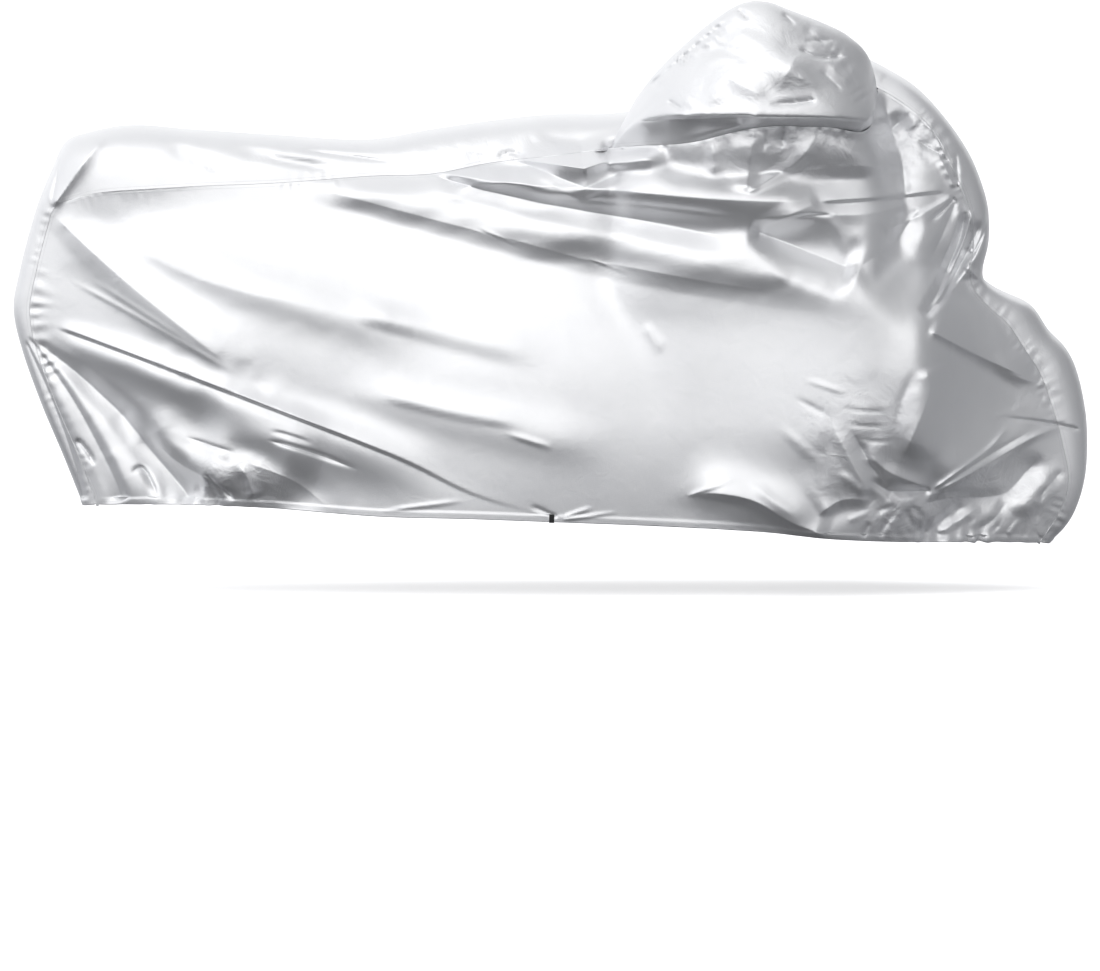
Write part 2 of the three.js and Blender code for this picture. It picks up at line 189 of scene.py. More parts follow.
class Wire:
    """A shader output that takes arithmetic."""

    def __init__(self, graph: "Graph", socket: bpy.types.NodeSocket) -> None:
        """Keeps the graph and the socket."""
        self.graph = graph
        self.socket = socket

    def math(self, operation: str, first: Any, second: Any = 0.0) -> "Wire":
        """Adds one Math node.

        Args:
            operation: The node's operation.
            first: A wire or a number.
            second: A wire or a number.

        Returns:
            The node's output.
        """
        made = self.graph.node("ShaderNodeMath", {"operation": operation}, {0: first, 1: second})
        return self.graph.out(made)

    def __add__(self, other: Any) -> "Wire":
        """Adds."""
        return self.math("ADD", self, other)

    __radd__ = __add__

    def __mul__(self, other: Any) -> "Wire":
        """Multiplies."""
        return self.math("MULTIPLY", self, other)

    __rmul__ = __mul__

    def __sub__(self, other: Any) -> "Wire":
        """Subtracts."""
        return self.math("SUBTRACT", self, other)

    def __rsub__(self, other: Any) -> "Wire":
        """Subtracts from a number."""
        return self.math("SUBTRACT", other, self)

    def __truediv__(self, other: Any) -> "Wire":
        """Divides."""
        return self.math("DIVIDE", self, other)

    def __rtruediv__(self, other: Any) -> "Wire":
        """Divides a number."""
        return self.math("DIVIDE", other, self)

    def __lt__(self, other: Any) -> "Wire":
        """Gives 1 where it is less, and 0 elsewhere."""
        return self.math("LESS_THAN", self, other)

    def __abs__(self) -> "Wire":
        """Takes the size without the sign."""
        return self.math("ABSOLUTE", self)

    def fraction(self) -> "Wire":
        """Takes the fractional part."""
        return self.math("FRACT", self)


class Graph:
    """Builds one node tree."""

    def __init__(self, tree: bpy.types.NodeTree) -> None:
        """Starts from an empty tree."""
        self.tree = tree
        self.tree.nodes.clear()

    def node(self, kind: str, settings: dict | None = None, sockets: dict | None = None) -> bpy.types.Node:
        """Makes a node.

        Args:
            kind: The node's type.
            settings: Properties of the node.
            sockets: Inputs, each a wire or a value.

        Returns:
            The node.
        """
        made = self.tree.nodes.new(kind)
        for key, value in (settings or {}).items():
            setattr(made, key, value)
        for key, value in (sockets or {}).items():
            if isinstance(value, Wire):
                self.tree.links.new(value.socket, made.inputs[key])
            else:
                made.inputs[key].default_value = value
        return made

    def out(self, node: bpy.types.Node, output: int | str = 0) -> Wire:
        """Returns a wire from the output of a node that has the number or name given."""
        return Wire(self, node.outputs[output])

    def wire(self, kind: str, settings: dict | None, sockets: dict | None, output: int | str = 0) -> Wire:
        """Makes a node, as above, and returns a wire from one of its outputs.

        Args:
            kind: The node's type.
            settings: Properties of the node.
            sockets: Inputs, each a wire or a value.
            output: The output's number or name.

        Returns:
            The wire.
        """
        return self.out(self.node(kind, settings, sockets), output)

    def ramp(self, factor: Wire, stops: Stops) -> Wire:
        """Colours a factor.

        Args:
            factor: The factor.
            stops: Places and colours.

        Returns:
            The colour.
        """
        made = self.node("ShaderNodeValToRGB", None, {"Fac": factor})
        elements = made.color_ramp.elements
        while len(elements) < len(stops):
            elements.new(0.5)
        for element, (place, colour) in zip(elements, stops):
            element.position = place
            element.color = (*colour, 1.0)
        return self.out(made)

    def shade(self, sockets: dict) -> None:
        """Ends the tree of a material with its shader, whose inputs are given."""
        self.finish(self.node("ShaderNodeBsdfPrincipled", None, sockets))

    def finish(self, shader: bpy.types.Node, output: str = "ShaderNodeOutputMaterial") -> None:
        """Ends the tree.

        Args:
            shader: The last shader.
            output: The output's type.
        """
        self.tree.links.new(shader.outputs[0], self.node(output).inputs[0])


@dataclass(frozen=True)
class Finish:
    """A procedural finish."""

    name: str = "finish"

    def started(self) -> tuple[bpy.types.Material, Graph, Wire]:
        """Starts the material.

        Returns:
            The material, its graph, and the places on the object.
        """
        made = bpy.data.materials.new(self.name)
        made.use_nodes = True
        graph = Graph(made.node_tree)
        return made, graph, graph.wire("ShaderNodeTexCoord", None, None, "Object")


@dataclass(frozen=True)
class CoatedCloth(Finish):
    """Silver-coated taffeta, stitched along its borders."""

    name: str = "silver_cloth"
    sewn_tone: tuple[float, float, float, float] = (0.74, 0.745, 0.76, 1.0)
    metal: float = 0.72
    rough: float = 0.36
    rough_spread: float = 0.14
    thread: float = 0.9 * MM
    row: float = 6.0 * MM
    stitch: float = 4.0 * MM
    stitch_share: float = 0.72
    sewing: float = 0.9 * MM
    relief: float = 4.0 * MM
    ridge: float = 0.3
    least_ridge: float = 0.03
    crinkle: float = 3.0
    least_crinkle: float = 0.45
    weave: float = 0.03
    thread_lift: float = 0.15

    def material(self) -> bpy.types.Material:
        """Builds the material and returns it."""
        made, graph, place = self.started()
        crinkle = graph.wire(
            "ShaderNodeTexNoise",
            None,
            {"Vector": place, "Scale": 26.0, "Detail": 5.0, "Roughness": 0.62, "Distortion": 0.9},
        )
        ridges = {"Scale": 22.0, "Detail": 2.0, "Roughness": 0.5, "Lacunarity": 2.2, "Distortion": 0.3}
        folded = graph.wire(
            "ShaderNodeTexNoise", {"noise_type": "RIDGED_MULTIFRACTAL"}, {"Vector": place, **ridges}
        )
        patches = {"Scale": 5.0, "Detail": 3.0, "Roughness": 0.55}
        mottle = graph.wire("ShaderNodeTexNoise", None, {"Vector": place, **patches})
        crumpled = graph.wire("ShaderNodeAttribute", {"attribute_name": "crumpled"}, None, "Fac")
        uv = graph.wire("ShaderNodeUVMap", {"uv_map": "cloth"}, None)
        weave = graph.wire("ShaderNodeTexChecker", None, {"Vector": uv, "Scale": 1.0 / self.thread}, "Fac")
        edge_uv = graph.wire("ShaderNodeUVMap", {"uv_map": "border"}, None)
        border = graph.node("ShaderNodeSeparateXYZ", None, {0: edge_uv})
        on_row = abs(graph.out(border, "Y") - self.row) < self.sewing / 2
        sewn = on_row * ((graph.out(border, "X") / self.stitch).fraction() < self.stitch_share)
        plain = graph.ramp(mottle, [(0.3, (0.83, 0.835, 0.85)), (0.7, (0.875, 0.88, 0.89))])
        tone = graph.wire("ShaderNodeMix", {"data_type": "RGBA"}, {0: sewn, 6: plain, 7: self.sewn_tone}, 2)
        ridged = folded * (crumpled * self.ridge + self.least_ridge)
        facets = graph.wire(
            "ShaderNodeBump", None, {"Strength": 0.45, "Distance": self.relief, "Height": ridged}
        )
        crinkled = crinkle * (crumpled * self.crinkle + self.least_crinkle)
        height = crinkled + weave * self.weave + sewn * self.thread_lift
        bump = graph.wire(
            "ShaderNodeBump",
            None,
            {"Strength": 0.35, "Distance": self.relief, "Height": height, "Normal": facets},
        )
        rough = (crinkle - 0.5) * self.rough_spread + self.rough
        graph.shade({"Base Color": tone, "Metallic": self.metal, "Roughness": rough, "Normal": bump})
        return made


@dataclass(frozen=True)
class Webbing(Finish):
    """Black woven tape."""

    name: str = "webbing"
    rib: float = 1.4 * MM
    turns: float = 0.3
    relief: float = 0.6 * MM
    rough: float = 0.82
    rub: float = 0.1

    def material(self) -> bpy.types.Material:
        """Builds the material and returns it."""
        made, graph, place = self.started()
        ribs = graph.wire(
            "ShaderNodeTexWave",
            {"wave_type": "BANDS", "bands_direction": "DIAGONAL"},
            {"Vector": place, "Scale": self.turns / self.rib, "Distortion": 0.6},
            "Fac",
        )
        tone = graph.ramp(ribs, [(0.2, (0.010, 0.010, 0.011)), (0.8, (0.030, 0.030, 0.032))])
        bump = graph.wire("ShaderNodeBump", None, {"Strength": 0.5, "Distance": self.relief, "Height": ribs})
        graph.shade({"Base Color": tone, "Roughness": ribs * -self.rub + self.rough, "Normal": bump})
        return made


@dataclass(frozen=True)
class PaleFloor(Finish):
    """Matt pale floor."""

    name: str = "floor"
    glow: float = 0.7

    def material(self) -> bpy.types.Material:
        """Builds the material and returns it."""
        made, graph, place = self.started()
        grain = graph.wire("ShaderNodeTexNoise", None, {"Vector": place, "Scale": 3.0, "Detail": 2.0})
        tone = graph.ramp(grain, [(0.3, (0.90, 0.90, 0.905)), (0.7, (0.92, 0.92, 0.925))])
        glow = {"Emission Color": tone, "Emission Strength": self.glow}
        graph.shade({"Base Color": tone, "Roughness": 0.9, **glow})
        return made


@dataclass(frozen=True)
class FarSide:
    """How the folds of the far side differ: their places and heights, in millimetres, and their depths."""

    shift: float = 26.0
    drop: float = 14.0
    depth: float = 0.85
    spread: float = 0.3
    turns: tuple[float, float, float] = (2.4, 1.9, 1.7)


FAR_SIDE = FarSide()


@dataclass(frozen=True)
class Fold:
    """A ridge along a line, or a trough where lift is negative, in millimetres.

    The line runs through places given as x forward of the saddle and z above the ground, turned sharply at
    them if it is cornered. The fold reaches above its line, which is to the left of its run, and below it, by
    sizes spread evenly along it, and dies away over the shares fade_in and fade_out of its length. A ledge is
    lifted above its line and sunk below it, with a steep wall between. A fanned fold is lower where it is
    narrower.
    """

    line: Pairs
    above: tuple[float, ...]
    below: tuple[float, ...]
    lift: float
    profile: Profile = Profile.SHARP
    fade_in: float = 0.2
    fade_out: float = 0.3
    cornered: bool = False
    fanned: bool = False
    wall: float = 4.0
    steps: int = 6

    def path(self) -> np.ndarray:
        """Rounds the line through its places.

        Returns:
            Places along it, a row each.
        """
        knots = np.array(self.line, float)
        if self.cornered or len(knots) == 2:
            return knots
        padded = np.vstack((2 * knots[0] - knots[1], knots, 2 * knots[-1] - knots[-2]))
        step = np.linspace(0.0, 1.0, self.steps, endpoint=False)[:, None]
        pieces = []
        for before, start, end, after in zip(padded, padded[1:], padded[2:], padded[3:]):
            turn = 2 * before - 5 * start + 4 * end - after
            twist = 3 * start - before - 3 * end + after
            pieces.append(start + 0.5 * ((end - before) * step + turn * step**2 + twist * step**3))
        return np.vstack((*pieces, knots[-1:]))

    def near(self, x: np.ndarray, z: np.ndarray, least: float) -> np.ndarray:
        """Finds which places the fold may reach.

        Args:
            x: Places forward of the saddle.
            z: Heights above the ground.
            least: The shortest reach to allow for.

        Returns:
            True where it may.
        """
        reach = max(*self.above, *self.below, least)
        low, high = np.min(self.path(), axis=0) - reach, np.max(self.path(), axis=0) + reach
        return (x > low[0]) & (x < high[0]) & (z > low[1]) & (z < high[1])

    def place(self, x: np.ndarray, z: np.ndarray) -> tuple[np.ndarray, np.ndarray]:
        """Finds places along the line, as shares of it, and distances above it.

        Args:
            x: Places forward of the saddle.
            z: Heights above the ground.

        Returns:
            The shares and the distances.
        """
        path = self.path()
        run = np.diff(path, axis=0)
        length = np.hypot(run[:, 0], run[:, 1])
        before = np.cumsum(length) - length
        gap_x, gap_z = x[:, None] - path[:-1, 0], z[:, None] - path[:-1, 1]
        share = np.clip((gap_x * run[:, 0] + gap_z * run[:, 1]) / length**2, 0.0, 1.0)
        away = np.hypot(gap_x - share * run[:, 0], gap_z - share * run[:, 1])
        rows, best = np.arange(len(x)), away.argmin(axis=1)
        side = np.sign(gap_z[rows, best] * run[best, 0] - gap_x[rows, best] * run[best, 1])
        along = (before[best] + share[rows, best] * length[best]) / length.sum()
        return along, away[rows, best] * side

    def height(self, x: np.ndarray, z: np.ndarray) -> np.ndarray:
        """Finds how far the fold lifts the cloth.

        Args:
            x: Places forward of the saddle.
            z: Heights above the ground.

        Returns:
            The lifts.
        """
        found = np.zeros(len(x))
        near = self.near(x, z, 0.0)
        along, across = self.place(x[near], z[near])
        above = np.interp(along, np.linspace(0.0, 1.0, len(self.above)), self.above)
        below = np.interp(along, np.linspace(0.0, 1.0, len(self.below)), self.below)
        reach = np.where(across > 0.0, above, below)
        body = self.profile.section(np.clip(np.abs(across) / reach, 0.0, 1.0))
        if self.profile is Profile.LEDGE:
            body = body * np.clip(across / self.wall, -1.0, 1.0)
        fade = ease(np.minimum(along / self.fade_in, (1.0 - along) / self.fade_out))
        if self.fanned:
            fade = fade * (above + below) / (max(self.above) + max(self.below))
        found[near] = self.lift * body * fade
        return found

    def span(self, x: np.ndarray, z: np.ndarray, most: float) -> np.ndarray:
        """Finds distances from the line.

        Args:
            x: Places forward of the saddle.
            z: Heights above the ground.
            most: The longest distance that matters.

        Returns:
            The distances, endless where they are longer.
        """
        found = np.full(len(x), np.inf)
        near = self.near(x, z, most)
        found[near] = np.abs(self.place(x[near], z[near])[1])
        return found

    def varied(self, number: int) -> "Fold":
        """Makes the like fold of the other side, a little elsewhere and of another depth.

        Args:
            number: The fold's number.

        Returns:
            The fold.
        """
        across, down, deep = (turn * number for turn in FAR_SIDE.turns)
        shift = FAR_SIDE.shift * math.sin(across)
        drop = FAR_SIDE.drop * math.cos(down)
        return replace(
            self,
            line=tuple((x + shift, z + drop) for x, z in self.line),
            lift=self.lift * (FAR_SIDE.depth + FAR_SIDE.spread * math.sin(deep)),
        )


@dataclass(frozen=True)
class Crumple:
    """A patch of small flat facets, in millimetres."""

    x: float
    z: float
    reach_x: float
    reach_z: float
    lift: float
    pitch: float
    bend: float = 0.3
    ways: int = 4
    turn: float = 2.4
    growth: float = 0.37
    first_turn: float = 0.4
    first_size: float = 0.8
    calm: float = 3.0
    bends: Pairs = ((1.7, 0.6), (1.3, 1.1))

    def share(self, x: np.ndarray, z: np.ndarray) -> np.ndarray:
        """Finds how much of the patch's effect places forward of the saddle and above the ground have."""
        return ease(1.0 - ((x - self.x) / self.reach_x) ** 2 - ((z - self.z) / self.reach_z) ** 2)

    def height(self, x: np.ndarray, z: np.ndarray) -> np.ndarray:
        """Finds how far the patch lifts the cloth.

        Args:
            x: Places forward of the saddle.
            z: Heights above the ground.

        Returns:
            The lifts.
        """
        bent_x = x + self.bend * self.pitch * waves(z / self.pitch, self.bends[:1])
        bent_z = z + self.bend * self.pitch * waves(x / self.pitch, self.bends[1:])
        total = np.zeros(len(x))
        for way in range(self.ways):
            angle = self.turn * way + self.first_turn
            size = self.first_size + self.growth * way
            across = bent_x * math.cos(angle) + bent_z * math.sin(angle)
            phase = across / (self.pitch * size) + self.growth * way
            total += (np.abs(phase % 1.0 - 0.5) * 4.0 - 1.0) * size / self.calm
        return self.lift * total * self.share(x, z)


@dataclass(frozen=True)
class Pucker:
    """Small folds across a sewn line inside a panel, in millimetres."""

    x1: float
    z1: float
    x2: float
    z2: float
    lift: float
    pitch: float
    reach: float
    sewn_reach: float = 3.5
    sewn_depth: float = 0.8
    ends: float = 25.0
    lean: float = 0.05
    slow: Pairs = ((0.31, 0.9), (0.17, 2.3))

    def height(self, x: np.ndarray, z: np.ndarray) -> np.ndarray:
        """Finds how far the folds lift the cloth.

        Args:
            x: Places forward of the saddle.
            z: Heights above the ground.

        Returns:
            The lifts.
        """
        length = math.hypot(self.x2 - self.x1, self.z2 - self.z1)
        run_x, run_z = (self.x2 - self.x1) / length, (self.z2 - self.z1) / length
        along = ((x - self.x1) * run_x + (z - self.z1) * run_z) / length
        across = (z - self.z1) * run_x - (x - self.x1) * run_z
        turn = along * length / self.pitch * math.tau
        slow = waves(turn, self.slow)
        wave = np.sin(turn + 1.3 * slow + across * self.lean) * (0.7 + 0.3 * slow)
        body = np.exp(-((across / self.reach) ** 2))
        sunk = np.exp(-((across / self.sewn_reach) ** 2)) * self.sewn_depth
        ends = ease(np.minimum(along, 1.0 - along) * length / self.ends)
        return self.lift * (wave * body - sunk) * ends


@dataclass(frozen=True)
class FoldSet:
    """The folds of a panel; those of the far side are a little different."""

    folds: tuple[Fold, ...]
    crumples: tuple[Crumple, ...] = ()
    puckers: tuple[Pucker, ...] = ()
    shift: float = 57.0
    full: float = 3.0

    @staticmethod
    def split(points: np.ndarray) -> tuple[np.ndarray, np.ndarray, np.ndarray]:
        """Turns places in the frame into the folds' own sizes.

        Args:
            points: Places in metres.

        Returns:
            Places forward of the saddle, heights above the ground, and which lie on the right side.
        """
        return points[:, 0] / MM, points[:, 2] / MM + SADDLE_HEIGHT, points[:, 1] < 0.0

    def lift(self, points: np.ndarray) -> np.ndarray:
        """Finds how far the folds lift the cloth.

        Args:
            points: Places in metres.

        Returns:
            The lifts in millimetres.
        """
        x, z, near = self.split(points)
        total = np.zeros(len(x))
        for number, fold in enumerate(self.folds):
            total[near] += fold.height(x[near], z[near])
            total[~near] += fold.varied(number).height(x[~near], z[~near])
        for crumple in self.crumples:
            total += crumple.height(x + np.where(near, 0.0, self.shift), z)
        for pucker in self.puckers:
            total += pucker.height(x, z)
        return total

    def close(self, points: np.ndarray, least: float, reach: float) -> np.ndarray:
        """Finds which places lie close to a sharp line.

        Args:
            points: Places in metres.
            least: The smallest lift that counts.
            reach: How close, in millimetres.

        Returns:
            True where one is close.
        """
        x, z, near = self.split(points)
        found = np.zeros(len(x), bool)
        for number, fold in enumerate(self.folds):
            if fold.profile is not Profile.SOFT and abs(fold.lift) >= least:
                found[near] |= fold.span(x[near], z[near], reach) < reach
                found[~near] |= fold.varied(number).span(x[~near], z[~near], reach) < reach
        return found

    def crumpled(self, points: np.ndarray) -> np.ndarray:
        """Finds how crumpled the cloth is.

        Args:
            points: Places in metres.

        Returns:
            Shares from 0 to 1.
        """
        x, z, near = self.split(points)
        most = np.zeros(len(x))
        for crumple in self.crumples:
            share = crumple.share(x + np.where(near, 0.0, self.shift), z)
            most = np.maximum(most, share * min(1.0, crumple.lift / self.full))
        return most


@dataclass(frozen=True)
class Gather:
    """Puckers drawn up along a border between two places, in millimetres, with a share bare of them."""

    edge: Edge
    x1: float
    x2: float
    lift: float
    pitch: float
    reach: float
    still: float
    bare: float = 0.0
    ends: float = 70.0
    patchy: float = 1.4
    slow: Pairs = ((0.23, 0.7), (0.117, 2.1))
    depths: Pairs = ((0.31, 1.9),)
    patches: Pairs = ((0.071, 0.4), (0.043, 2.6))

    def height(self, x: np.ndarray, along: np.ndarray, away: np.ndarray) -> np.ndarray:
        """Finds how far the puckers lift the cloth.

        Args:
            x: Places forward of the saddle.
            along: Places along the border.
            away: Distances from the border.

        Returns:
            The lifts.
        """
        turn = along / self.pitch * math.tau
        slow = waves(turn, self.slow)
        wave = np.sin(turn + 1.4 * slow) * 0.7 + np.sin(turn * 0.53 + 2.2 * slow) * 0.5
        reach = self.reach * (1.0 + 0.35 * waves(turn, self.depths))
        body = ease(away / self.still) if self.still > 0.0 else 1.0
        drawn = ease((waves(turn, self.patches) + 2.0 - 4.0 * self.bare) / self.patchy)
        span = ease(np.minimum(x - self.x1, self.x2 - x) / self.ends)
        dying = np.exp(-((away / reach) ** 2))
        return self.lift * wave * body * dying * span * drawn * (0.75 + 0.25 * slow)


SOFT, SHARP, FACET, LEDGE = Profile.SOFT, Profile.SHARP, Profile.FACET, Profile.LEDGE

TAIL = (
    Fold(((-1004, 762), (-952, 834), (-900, 902)), (34, 68), (16, 32), 9, SHARP, 0.1, 0.15),
    Fold(((-1008, 766), (-988, 874)), (9, 12), (9, 12), -6, SHARP),
    Fold(((-1024, 772), (-1010, 850)), (8, 9), (8, 9), -5, SHARP),
    Fold(((-1000, 744), (-880, 636), (-750, 532), (-618, 428)), (60, 110), (30, 90), 6.5, SHARP, 0.06, 0.3),
    Fold(
        ((-890, 716), (-760, 642), (-636, 600), (-500, 570), (-320, 532)),
        (60, 110), (50, 110), 3.5, SHARP, 0.3, 0.5,
    ),
    Fold(((-972, 620), (-880, 572), (-754, 503), (-620, 428)), (9, 12), (8, 10), 2.4, SHARP),
    Fold(((-940, 630), (-850, 574), (-690, 474)), (8, 10), (8, 10), 1.6, SHARP, 0.3, 0.4),
    Fold(
        ((-1000, 526), (-800, 456), (-560, 366), (-320, 273), (-172, 202), (-12, 155)),
        (30, 40, 30), (24, 60, 26), 6.0, LEDGE, 0.05, 0.6,
    ),
    Fold(
        ((-1046, 502), (-949, 427), (-863, 348), (-800, 272), (-754, 216), (-724, 174)),
        (12, 46, 60), (8, 40, 52), -20, FACET, 0.05, 0.05, fanned=True,
    ),
    Fold(
        ((-1056, 508), (-977, 400), (-920, 302), (-880, 222), (-866, 178)),
        (5, 16, 22), (8, 30, 42), -14, FACET, 0.05, 0.04, fanned=True,
    ),
    Fold(
        ((-1062, 502), (-1006, 376), (-966, 262), (-946, 178)),
        (4, 12, 15), (6, 20, 26), -10, FACET, 0.05, 0.04, fanned=True,
    ),
    Fold(((-852, 236), (-828, 248), (-806, 216), (-794, 184)), (10, 10), (16, 22), -9, SHARP, 0.3, 0.3),
    Fold(((-960, 306), (-936, 276), (-922, 250)), (10, 10), (14, 14), -8, SHARP),
    Fold(((-816, 316), (-772, 274), (-726, 244), (-618, 198)), (24, 56, 44), (18, 24), 13, FACET, 0.3, 0.3),
    Fold(((-700, 240), (-668, 210), (-640, 186)), (9, 11), (9, 11), -9, SHARP, 0.3, 0.2),
    Fold(
        ((-660, 274), (-586, 252), (-520, 224), (-466, 182), (-436, 152)),
        (110, 120), (34, 52, 44), 14, FACET, 0.3, 0.45,
    ),
    Fold(((-630, 262), (-614, 230), (-600, 190)), (22, 26), (14, 18), 10, FACET, 0.3, 0.15),
    Fold(((-740, 312), (-690, 296), (-634, 280)), (8, 10), (8, 12), -5, SHARP, 0.4, 0.4),
    Fold(((-572, 326), (-530, 316), (-480, 298)), (7, 8), (8, 10), -4, SHARP, 0.3, 0.4),
    Fold(((-576, 308), (-490, 283), (-390, 246)), (8, 12), (7, 9), -6, SHARP, 0.2, 0.4),
    Fold(((-360, 166), (-180, 190)), (8, 9), (8, 9), 3, SHARP, 0.4, 0.4),
    Fold(((-730, 296), (-600, 268), (-470, 232)), (140, 140), (100, 100), 30, SOFT, 0.3, 0.3),
)

SADDLE = (
    Fold(((-790, 890), (-646, 826)), (14, 22), (12, 18), -7, SOFT, 0.3, 0.3),
    Fold(((-690, 894), (-560, 857), (-420, 834)), (14, 20), (10, 14), -9, SOFT, 0.3, 0.3),
    Fold(((-530, 878), (-300, 848)), (10, 14), (8, 10), -7, SHARP, 0.3, 0.4),
    Fold(
        (
            (-540, 816), (-420, 784), (-302, 752), (-174, 719), (-82, 696), (50, 660), (132, 646),
            (286, 618), (490, 588),
        ),
        (30, 46, 50, 40), (32, 38), 6.5, FACET, 0.2, 0.3,
    ),
    Fold(((-172, 726), (-80, 684)), (7, 7), (6, 6), 2.6, LEDGE, 0.3, 0.15),
    Fold(((46, 664), (134, 630)), (7, 7), (6, 6), 2.6, LEDGE, 0.3, 0.15),
    Fold(
        ((-250, 824), (-160, 799), (-60, 776), (40, 756), (160, 737), (280, 712), (366, 696)),
        (10, 44, 84), (30, 60), -16, FACET, 0.08, 0.16,
    ),
    Fold(
        ((-262, 835), (-180, 822), (-60, 806), (86, 798), (230, 784), (350, 776), (500, 773)),
        (30, 60), (8, 34, 66, 78), 13, FACET, 0.14, 0.08,
    ),
    Fold(((-40, 782), (150, 768), (350, 744)), (7, 8), (7, 8), -2.5, SHARP, 0.3, 0.2),
    Fold(((-74, 850), (48, 800), (150, 842)), (4, 44, 20), (6, 30, 14), -18, FACET, 0.05, 0.45, True, True),
    Fold(((-96, 858), (46, 838), (216, 890)), (50, 60, 60), (38, 58, 100), 72, FACET, 0.34, 0.2, True),
    Fold(((80, 650), (76, 760), (84, 890)), (240, 240), (115, 115), 26, SOFT, 0.35, 0.2),
    Fold(((-130, 858), (-96, 870), (-66, 858)), (14, 14), (10, 10), -6, SHARP, 0.3, 0.3),
    Fold(((-190, 868), (-140, 858)), (9, 9), (9, 9), -4, SHARP),
    Fold(((-60, 908), (10, 866)), (18, 18), (16, 16), 4, FACET),
)

UNDER_BAR = (
    Fold(((376, 916), (368, 850), (360, 788)), (34, 26), (70, 44), 13, FACET, 0.15, 0.15),
    Fold(((398, 918), (396, 866)), (10, 10), (14, 14), -6, FACET, 0.2, 0.4),
    Fold(((434, 932), (431, 876)), (10, 10), (16, 14), -9, FACET, 0.1, 0.3),
    Fold(((296, 906), (300, 815)), (26, 30), (20, 24), 8, FACET, 0.3, 0.3),
    Fold(
        ((362, 788), (410, 818), (466, 856), (506, 916)),
        (8, 26, 36), (6, 22, 30), 10, FACET, 0.05, 0.3, fanned=True,
    ),
    Fold(
        ((500, 934), (556, 914), (600, 904), (640, 908), (688, 946)),
        (30, 34, 30), (30, 50, 40), -20, FACET, 0.15, 0.15,
    ),
    Fold(
        ((366, 791), (430, 826), (495, 836), (555, 842), (630, 842), (704, 850)),
        (20, 60, 60), (6, 26, 28, 14), 5, FACET, 0.05, 0.15, fanned=True,
    ),
    Fold(
        ((368, 785), (430, 801), (495, 808), (550, 815), (630, 821), (694, 844)),
        (6, 26, 28, 10), (12, 40, 44), -4, FACET, 0.05, 0.15, fanned=True,
    ),
    Fold(((500, 771), (620, 779), (760, 794)), (20, 30), (30, 60), 5.5, LEDGE, 0.15, 0.1),
    Fold(((382, 714), (440, 744), (506, 774)), (30, 36), (26, 30), 8, FACET, 0.15, 0.15),
    Fold(((366, 724), (480, 677), (582, 637)), (20, 76, 70), (30, 80, 70), -32, FACET, 0.12, 0.14),
    Fold(((562, 634), (655, 697), (704, 764)), (60, 60, 20), (70, 60, 24), -13, FACET, 0.16, 0.2),
    Fold(
        ((396, 742), (480, 749), (560, 748), (640, 756), (704, 784)),
        (20, 30), (30, 100, 40), 11, FACET, 0.25, 0.2, False, True,
    ),
    Fold(((448, 742), (490, 747), (536, 748)), (9, 9), (8, 8), -5, SHARP, 0.3, 0.3),
    Fold(((520, 752), (572, 650)), (24, 20), (20, 16), 4, FACET, 0.3, 0.1),
    Fold(((616, 892), (716, 930)), (20, 30), (20, 30), 6, FACET, 0.3, 0.3),
    Fold(((690, 900), (776, 850)), (16, 20), (14, 18), -6, SHARP, 0.3, 0.3),
)

COWL = (
    Fold(((688, 640), (694, 760), (690, 900)), (64, 64), (116, 116), 30, SOFT, 0.3, 0.3),
    Fold(((778, 782), (752, 756), (722, 733)), (7, 8), (8, 10), -8, SHARP, 0.1, 0.3),
    Fold(((780, 780), (754, 716), (718, 640)), (10, 12), (14, 18), -6, FACET, 0.1, 0.4),
    Fold(((790, 764), (766, 690), (726, 600)), (14, 18), (12, 16), 7, FACET, 0.1, 0.2),
    Fold(((800, 756), (784, 690), (745, 606), (712, 560)), (9, 12), (16, 22), -11, FACET, 0.1, 0.1),
    Fold(((812, 758), (794, 690), (760, 610), (726, 566)), (12, 14), (12, 14), 7, FACET, 0.1, 0.15),
    Fold(((832, 740), (800, 668), (756, 594), (706, 548)), (12, 14), (18, 24), -13, FACET, 0.12, 0.06),
    Fold(((846, 724), (816, 660), (780, 604)), (14, 16), (14, 14), 7, FACET, 0.2, 0.2),
    Fold(((856, 762), (826, 690), (800, 650)), (12, 12), (18, 18), -10, FACET, 0.2, 0.2),
    Fold(((620, 712), (700, 744), (772, 784)), (14, 10), (40, 14), 6, FACET, 0.4, 0.05),
    Fold(((776, 800), (736, 880)), (14, 14), (8, 14), 5, FACET, 0.1, 0.4),
    Fold(((784, 800), (778, 880)), (6, 14), (6, 12), -6, SHARP, 0.1, 0.4),
    Fold(((790, 652), (850, 606)), (9, 11), (8, 10), 5, FACET, 0.3, 0.3),
)

